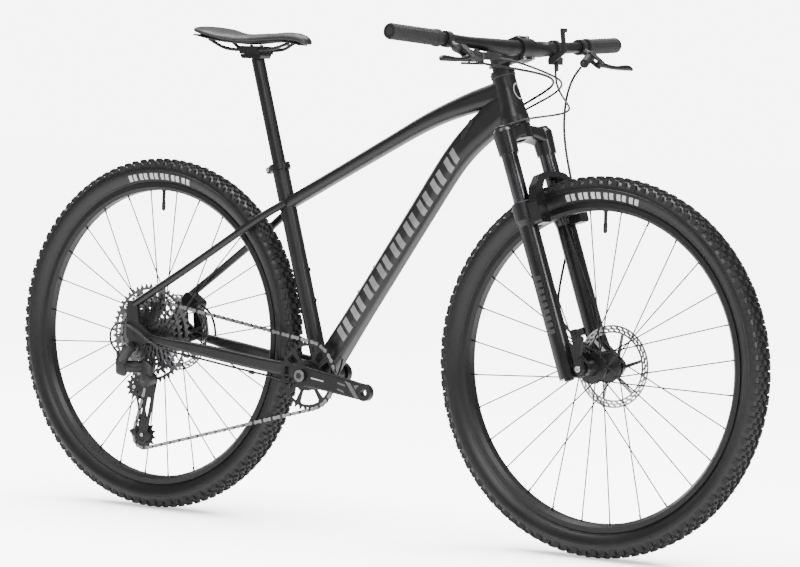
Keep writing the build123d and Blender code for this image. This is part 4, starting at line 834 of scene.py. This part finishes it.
def draw_socket_painted_shade(bm):
    """Dark disc over the mouth of that bolt's socket: painted shade standing in for the socket's shadowed
    inside.
    """
    turned(bm, Vector((BB.x, -0.0801, BB.z)), Vector((0, -1, 0)),
           [(0.0062, 0), (0.0062, 0.0002), (0.0004, 0.0002)], 24)


def draw_axle_bolt(bm):
    """Socket bolt at the front axle lever's hub."""
    bolt(bm, Vector((FRONT_X, -0.0800, AXLE_Z)), Vector((0, -1, 0)), 0.0062, 0.0030)


def draw_cage_tail(bm):
    """Guard round the lower pulley: a crescent with a tip at the back."""
    steps = 48
    inner = 0.0145
    rings = []
    for k in range(steps + 1):
        turn = 140 + 250 * k / steps
        tip = 0.0150 * math.exp(-((turn - 168) / 15) ** 2)
        bulge = 0.006 * math.exp(-((turn - 355) / 24) ** 2)
        outer = 0.0185 + tip + bulge
        direction = Vector((math.cos(math.radians(turn)), 0, math.sin(math.radians(turn))))
        section = ((inner, -0.0450), (inner, -0.0472), (outer, -0.0466), (outer, -0.0450))
        rings.append([bm.verts.new(TENSION_PULLEY + direction * radius + Vector((0, y, 0)))
                      for radius, y in section])
    for a, b in zip(rings, rings[1:]):
        bridge(bm, a, b)
    bm.faces.new(rings[0])
    bm.faces.new(rings[-1][::-1])


def draw_pulley_bolts(bm):
    for centre in (GUIDE_PULLEY, TENSION_PULLEY):
        bolt(bm, centre + Vector((0, -0.0445, 0)), Vector((0, -1, 0)), 0.0040, 0.0022)


def draw_clamp_bolts(bm):
    """Two rail clamp bolts and the seat collar's bolt."""
    for dx in (0.013, -0.013):
        bolt(bm, SADDLE_CLAMP + Vector((dx, 0, 0.0112)), Vector((0, 0, 1)), 0.0035, 0.0030)
    collar = BB + SEAT_UP * 0.4335 - SEAT_ACROSS * 0.0260
    bolt(bm, collar + Vector((0, -0.0070, 0)), Vector((0, -1, 0)), 0.0042, 0.0034)


def draw_bar_marks(bm):
    """Cutting and set-up scale: five short lines on each side of the bar's middle."""
    arc = 0.16
    width = 0.0008
    for side in (1, -1):
        along = bar_direction(side)
        across, other = basis(along)
        for k in range(5):
            at = bar_point(side * (0.056 + 0.0045 * k))
            radius = 0.0161 - 0.00018 * k
            for i in range(3):
                angle = math.radians(40 + 5 * i)
                edge = []
                for turn, shift in ((angle, 0), (angle + arc, 0), (angle + arc, width), (angle, width)):
                    out = across * math.cos(turn) + other * math.sin(turn)
                    edge.append(bm.verts.new(at + out * radius + along * shift))
                bm.faces.new(edge)


def draw_port(bm):
    """Oval cable port cover on the right of the down tube, with its screw."""
    start = Vector((0.2440, -0.0234, 0.8270))
    end = Vector((0.2260, -0.0234, 0.7980))
    along = (end - start).normalized()
    outward = Vector((0, -1, 0))
    across = along.cross(outward)
    half = (end - start).length / 2
    middle = (start + end) / 2
    steps = 24
    thick = 0.0012
    edge = 0.0052
    rings = []
    for height, radius in ((0.0, edge), (thick, edge * 0.86)):
        ring = []
        for k in range(steps):
            angle = 2 * math.pi * k / steps
            u = math.cos(angle) * radius + math.copysign(half, math.cos(angle))
            v = math.sin(angle) * radius
            ring.append(bm.verts.new(middle + along * u + across * v + outward * height))
        bm.faces.new(ring)
        rings.append(ring)
    bridge(bm, *rings)
    bolt(bm, middle + outward * thick, outward, 0.0030, 0.0014)


def draw_mech_base(bm):
    """Derailleur knuckle on the hanger bolt, with the rear barrel of the parallelogram."""
    ball_hull(bm, [(-0.558, -0.0865, 0.338, 0.0115), (-0.558, -0.0950, 0.338, 0.0105),
                   (-0.567, -0.0900, 0.321, 0.0105), (-0.573, -0.0910, 0.312, 0.0085)])
    ball_hull(bm, [(-0.570, -0.0900, 0.314, 0.0085), (-0.570, -0.0900, 0.285, 0.0078),
                   (-0.584, -0.0905, 0.311, 0.0062), (-0.583, -0.0905, 0.286, 0.0058)])
    ball_chain(bm, [(-0.583, -0.0910, 0.313, 0.0042), (-0.5862, -0.0915, 0.3265, 0.0034)])


def draw_mech_link(bm):
    """The parallelogram's two links under one slanted cover."""
    ball_hull(bm, [(-0.5690, -0.0905, 0.3040, 0.0068), (-0.5690, -0.0905, 0.2925, 0.0068),
                   (-0.5370, -0.0655, 0.3040, 0.0062), (-0.5370, -0.0655, 0.2925, 0.0062),
                   (-0.5520, -0.0815, 0.2980, 0.0090)])


def draw_mech_knuckle(bm):
    """Front knuckle that hangs from the links and carries the cage's spring barrel."""
    ball_hull(bm, [(-0.537, -0.0640, 0.3080, 0.0068), (-0.535, -0.0640, 0.2880, 0.0082),
                   (-0.524, -0.0600, 0.2990, 0.0070), (-0.530, -0.0640, 0.2720, 0.0125)])
    turned(bm, Vector((-0.530, -0.0460, 0.272)), Vector((0, -1, 0)),
           [(0.0140, 0), (0.0148, 0.001), (0.0148, 0.024), (0.0132, 0.0275), (0.0070, 0.0280),
            (0.0066, 0.0265), (0.0004, 0.0265)], 40)


def lever_spot(side, out, along, radius):
    """Ball on a brake lever: out from the bar and along towards the grip, on the pin's mid plane."""
    slope = math.radians(37.5)
    pivot = bar_point(side * 0.226, 0.050, -0.032)
    return (pivot.x + out * math.cos(slope), pivot.y + side * along, pivot.z - out * math.sin(slope), radius)


BLADE = ((0.0, 0.0, 0.0066), (0.0050, 0.016, 0.0050), (0.0100, 0.036, 0.0042), (0.0108, 0.056, 0.0044),
         (0.0095, 0.074, 0.0054), (0.0085, 0.090, 0.0060), (0.0095, 0.100, 0.0054), (0.0125, 0.1045, 0.0038))


def brake_blade(side):
    """Drawing function for one side's lever: a bowed blade with a broad finger rest."""
    def draw(bm):
        ball_chain(bm, [lever_spot(side, *spot) for spot in BLADE])
    return draw


def draw_stay_clips(bm):
    """Two clips that hold the shift housing under the right chainstay."""
    for place in ((-0.264, -0.0477, 0.3044), (-0.420, -0.0672, 0.3284)):
        turned(bm, Vector(place), Vector((-0.98, -0.12, 0.14)),
               [(0.0030, -0.006), (0.0041, -0.005), (0.0041, 0.005), (0.0030, 0.006)], 20)


for side, label in ((1, "left"), (-1, "right")):
    lever = "brake_lever_" + label
    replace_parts(fitting("brake_blade_" + label, "alloy", lever, brake_blade(side), 50), lever)
for part, material, node, draw in (("mech_base", "plastic", "derailleur_base", draw_mech_base),
                                   ("mech_link", "alloy", "derailleur_linkage", draw_mech_link),
                                   ("mech_knuckle", "plastic", "derailleur_knuckle", draw_mech_knuckle)):
    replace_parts(fitting(part, material, node, draw, 50), node)
fitting("wiper_seals", "seal", "fork_lowers",
        on_legs(LOWERS_TOP, HEAD_UP, WIPER_LIP, 40, closed=True))
fitting("leg_top_caps", "alloy", "steering", on_legs(CROWN_TOP, HEAD_UP, LEG_CAP, 36))
fitting("leg_foot_bolts", "alloy", "fork_lowers",
        on_legs(LOWERS_FOOT, -HEAD_UP, FOOT_BOLT, 24))
fitting("bottle_bolts", "black_steel", "frame", draw_bottle_bolts)
fitting("stem_bolts", "silver", "steering", draw_stem_bolts)
fitting("crank_bolt", "crank_light", "crank", draw_crank_bolts)
# Painted shade: a dark disc over the crank bolt's socket.
fitting("crank_socket_painted_shade", "seal", "crank", draw_socket_painted_shade)
fitting("axle_lever_bolt", "silver", "axle_lever", draw_axle_bolt)
fitting("cage_guard", "black_steel", "derailleur_cage", draw_cage_tail)
fitting("pulley_bolts", "silver", "derailleur_cage", draw_pulley_bolts)
fitting("saddle_bolts", "silver", "seatpost", draw_clamp_bolts)
fitting("bar_scale", "white", "steering", draw_bar_marks, smooth=0)
fitting("cable_port", "plastic", "frame", draw_port)
fitting("housing_clips", "plastic", "frame", draw_stay_clips)


# ---- Plain graphics on the bike's right
FILM = 0.0003
FAR_OUT = 0.2
INWARDS = Vector((0, 1, 0))


def surface_of(node):
    """Search tree over a CAD piece's surface at rest."""
    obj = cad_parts[node]
    points = [obj.matrix_world @ v.co for v in obj.data.vertices]
    return BVHTree.FromPolygons(points, [tuple(p.vertices) for p in obj.data.polygons])


def patch(bm, tree, corners, cells=6):
    """Four-cornered film laid on a surface from the right."""
    rows = []
    for i in range(cells + 1):
        row = []
        for j in range(cells + 1):
            near = corners[0].lerp(corners[1], i / cells)
            far = corners[3].lerp(corners[2], i / cells)
            spot, _, _, _ = tree.ray_cast(near.lerp(far, j / cells) - INWARDS * FAR_OUT, INWARDS)
            row.append(bm.verts.new(spot - INWARDS * FILM))
        rows.append(row)
    sheet(bm, rows)


def slanted_bar(bm, tree, start, along, across, width, height, lean):
    """Bar of a row: width runs along the row, height across it, leaning forward."""
    low = start - across * height / 2 - along * lean / 2
    high = start + across * height / 2 + along * lean / 2
    patch(bm, tree, (low, low + along * width, high + along * width, high))


def draw_down_tube_bars(bm):
    """A row of leaning bars, in pairs, up the side of the down tube."""
    tree = surface_of("down_tube")
    low = Vector((-0.0611, 0, 0.3867))
    high = Vector((0.2181, 0, 0.7754))
    pairs = 9
    height = 0.026
    lean = 0.008
    along = (high - low).normalized()
    across = Vector((-along.z, 0, along.x))
    pitch = (high - low).length / pairs
    for k in range(pairs):
        start = low + along * pitch * k
        for shift in (0.08, 0.50):
            slanted_bar(bm, tree, start + along * pitch * shift, along, across, pitch * 0.27, height, lean)


def draw_leg_bars(bm):
    """A column of short bars down the right fork leg."""
    tree = surface_of("fork_lowers")
    back = 0.0015
    front = 0.0165
    height = 0.0085
    for k in range(9):
        top = -0.362 - 0.0133 * k
        corners = [head_point(forward, 0, top - drop)
                   for forward, drop in ((back, 0), (back, height), (front, height), (front, 0))]
        patch(bm, tree, corners, cells=4)


def sidewall_bar(bm, hub, angle):
    """Bar moulded on the right of a tyre, between two radii."""
    low = 0.3225
    high = 0.3350
    turn = math.radians(1.5)
    rows = []
    for k in range(5):
        radius = low + (high - low) * k / 4
        (y0, r0), (y1, r1) = next(pair for pair in zip(SIDEWALL, SIDEWALL[1:]) if pair[1][1] >= radius)
        y = y0 + (y1 - y0) * (radius - r0) / (r1 - r0) + FILM
        start = angle - 0.006 * k / 4
        rows.append([bm.verts.new(wheel_point(hub, radius, start + turn * j / 3, -y)) for j in range(4)])
    sheet(bm, rows)


def tyre_bars(hub):
    """Drawing function for a wheel's row of bars, in pairs, over the top of its tyre."""
    def draw(bm):
        for k in range(6):
            for shift in (0.4, 2.6):
                sidewall_bar(bm, hub, math.radians(74.5 + 5 * k + shift))
    return draw


def draw_badge(bm):
    """Blank oval ring as a head badge."""
    tree = surface_of("head_tube")
    steps = 36
    rings = []
    for scale in (1.0, 0.84):
        ring = []
        for k in range(steps):
            angle = 2 * math.pi * k / steps
            side = 0.0105 * scale * math.cos(angle)
            up = 0.008 + 0.0170 * scale * math.sin(angle)
            hit, _, _, _ = tree.ray_cast(head_point(FAR_OUT, side, up), -HEAD_FORWARD)
            ring.append(bm.verts.new(hit + HEAD_FORWARD * FILM))
        rings.append(ring)
    bridge(bm, *rings)


CRANK_TURN = math.radians(7.3)


def crank_point(along, up):
    """Point on the right crank arm's face plane, from the axle towards the pedal."""
    return BB + Vector((along * math.cos(CRANK_TURN) + up * math.sin(CRANK_TURN), 0,
                        up * math.cos(CRANK_TURN) - along * math.sin(CRANK_TURN)))


def draw_crank_panels(bm):
    """Two lighter angular facets near the pedal end."""
    tree = surface_of("crank_arm_right")
    for outline in (((0.117, 0.0135), (0.132, 0.0120), (0.163, -0.0130), (0.149, -0.0140)),
                    ((0.143, 0.0085), (0.151, 0.0120), (0.157, 0.0118), (0.149, 0.0020)),
                    ((0.098, 0.0035), (0.098, 0.0075), (0.119, 0.0060), (0.121, 0.0020)),
                    ((0.100, -0.0085), (0.100, -0.0050), (0.117, -0.0070), (0.120, -0.0110))):
        patch(bm, tree, [crank_point(u, v) for u, v in outline], cells=4)


def draw_crank_dash(bm):
    """Short pale line along the arm near its axle."""
    corners = ((0.026, -0.0008), (0.026, 0.0018), (0.060, 0.0018), (0.060, -0.0008))
    patch(bm, surface_of("crank_arm_right"), [crank_point(u, v) for u, v in corners], cells=4)


fitting("down_tube_bars", "mark", "frame", draw_down_tube_bars, smooth=0)
fitting("fork_leg_bars", "dim_mark", "fork_lowers", draw_leg_bars, smooth=0)
fitting("front_tyre_bars", "white", "front_wheel", tyre_bars(FRONT_X), smooth=0)
fitting("rear_tyre_bars", "white", "rear_wheel", tyre_bars(REAR_X), smooth=0)
fitting("head_badge", "white", "frame", draw_badge, smooth=0)
fitting("crank_panels", "crank_light", "crank", draw_crank_panels, smooth=0)
fitting("crank_dash", "white", "crank", draw_crank_dash, smooth=0)


# ---- Softened edges on the machined and cast pieces
ROUNDED = {
    0.0015: ("fork_crown", "crank_arm_right", "crank_arm_left", "front_brake_caliper",
             "rear_brake_caliper", "stem", "dropouts"),
    0.0007: ("brake_masters", "shifter_body", "lockout_body", "lockout_lever", "rail_clamp",
             "seat_clamp", "front_axle_lever"),
}
for width, names in ROUNDED.items():
    for name in names:
        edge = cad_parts[name].modifiers.new("edge", "BEVEL")
        edge.width = width
        edge.segments = 2
        edge.limit_method = "ANGLE"
        edge.angle_limit = math.radians(40)


for name in ("front_spokes", "rear_spokes"):
    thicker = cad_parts[name].modifiers.new("butt", "DISPLACE")
    thicker.strength = SPOKE_BUTT
    thicker.mid_level = 0.0


# ---- Floor, light and camera
def area_light(name, place, target, size, power):
    """Soft rectangular lamp at a place, turned to a target."""
    lamp = bpy.data.lights.new(name, "AREA")
    lamp.shape = "RECTANGLE"
    lamp.size, lamp.size_y = size
    lamp.energy = power
    obj = bpy.data.objects.new(name, lamp)
    bpy.context.scene.collection.objects.link(obj)
    obj.location = place
    obj.rotation_euler = (Vector(target) - Vector(place)).to_track_quat("-Z", "Y").to_euler()


BACKDROP = 7.0
SKY_LIGHT = 0.30


def sky():
    """Even white surround: bright behind the bike, softer as a light on it."""
    world = bpy.data.worlds.new("studio")
    bpy.context.scene.world = world
    world.use_nodes = True
    nodes = world.node_tree.nodes
    links = world.node_tree.links
    nodes["Background"].inputs["Color"].default_value = (1, 1, 1, 1)
    nodes["Background"].inputs["Strength"].default_value = SKY_LIGHT
    shown = nodes.new("ShaderNodeBackground")
    shown.inputs["Color"].default_value = (1, 1, 1, 1)
    shown.inputs["Strength"].default_value = BACKDROP
    path = nodes.new("ShaderNodeLightPath")
    pick = nodes.new("ShaderNodeMixShader")
    links.new(path.outputs["Is Camera Ray"], pick.inputs["Fac"])
    links.new(nodes["Background"].outputs["Background"], pick.inputs[1])
    links.new(shown.outputs["Background"], pick.inputs[2])
    links.new(pick.outputs["Shader"], nodes["World Output"].inputs["Surface"])


def glowing_floor():
    """White floor that glows for the camera like the backdrop; ambient occlusion dims that glow close under
    things, a painted contact shadow.
    """
    made = finish("pale_floor_with_painted_shadow", (0.9, 0.9, 0.9), 0.6, grain=60, bump=0.0, vary=0.01)
    nodes = made.node_tree.nodes
    links = made.node_tree.links
    shader = nodes["Principled BSDF"]
    shader.inputs["Emission Color"].default_value = (1, 1, 1, 1)
    shader.inputs["Specular IOR Level"].default_value = 0.1
    # Painted shadow: ambient occlusion turns the floor's camera glow down close under the bike.
    painted_shadow_ao = nodes.new("ShaderNodeAmbientOcclusion")
    painted_shadow_ao.inputs["Distance"].default_value = 0.6
    painted_shadow_ao.samples = 16
    painted_shadow_glow = nodes.new("ShaderNodeMapRange")
    painted_shadow_glow.inputs["From Min"].default_value = 0.5
    painted_shadow_glow.inputs["From Max"].default_value = 1.0
    painted_shadow_glow.inputs["To Min"].default_value = 0.12 * BACKDROP
    painted_shadow_glow.inputs["To Max"].default_value = 0.93 * BACKDROP
    links.new(painted_shadow_ao.outputs["AO"], painted_shadow_glow.inputs["Value"])
    path = nodes.new("ShaderNodeLightPath")
    pick = nodes.new("ShaderNodeMix")
    pick.inputs["A"].default_value = 0.45
    links.new(path.outputs["Is Camera Ray"], pick.inputs["Factor"])
    links.new(painted_shadow_glow.outputs["Result"], pick.inputs["B"])
    links.new(pick.outputs["Result"], shader.inputs["Emission Strength"])
    return made


def studio():
    """Pale floor under an even sky, with large soft lights above and beside the bike."""
    bm = bmesh.new()
    bmesh.ops.create_grid(bm, x_segments=2, y_segments=2, size=60)
    mesh = bpy.data.meshes.new("floor")
    bm.to_mesh(mesh)
    bm.free()
    floor = bpy.data.objects.new("floor", mesh)
    bpy.context.scene.collection.objects.link(floor)
    floor.location.z = -0.0004
    mesh.materials.append(glowing_floor())
    sky()
    area_light("key", (1.8, -3.4, 3.6), (0, 0, 0.5), (2.4, 1.6), 130)
    area_light("top", (-0.4, 0.4, 3.6), (0, 0, 0.4), (3.2, 1.8), 230)
    area_light("rim_light", (-3.4, 1.6, 2.0), (0, 0, 0.5), (1.2, 2.2), 80)
    area_light("side_strip", (3.6, -0.6, 1.3), (0.3, 0, 0.6), (0.5, 2.2), 60)


def camera():
    """Long lens from the right and ahead, a little above the bike's middle."""
    azimuth = math.radians(35.9195)
    tilt = math.radians(2.7133)
    roll = math.radians(1.6942)
    place = Vector((4.1112, -5.5810, 0.8284))
    focal_length = 155.96
    ahead = Vector((-math.sin(azimuth) * math.cos(tilt), math.cos(azimuth) * math.cos(tilt),
                    -math.sin(tilt)))
    right = Vector((math.cos(azimuth), math.sin(azimuth), 0))
    above = Vector((-math.sin(azimuth) * math.sin(tilt), math.cos(azimuth) * math.sin(tilt),
                    math.cos(tilt)))
    rolled_right = right * math.cos(roll) + above * math.sin(roll)
    rolled_up = above * math.cos(roll) - right * math.sin(roll)
    lens = bpy.data.cameras.new("camera")
    lens.sensor_width = 36
    lens.lens = focal_length
    lens.clip_end = 200
    obj = bpy.data.objects.new("camera", lens)
    bpy.context.scene.collection.objects.link(obj)
    turn = Matrix((rolled_right, rolled_up, -ahead)).transposed()
    obj.matrix_world = Matrix.Translation(place) @ turn.to_4x4()
    bpy.context.scene.camera = obj


studio()
camera()
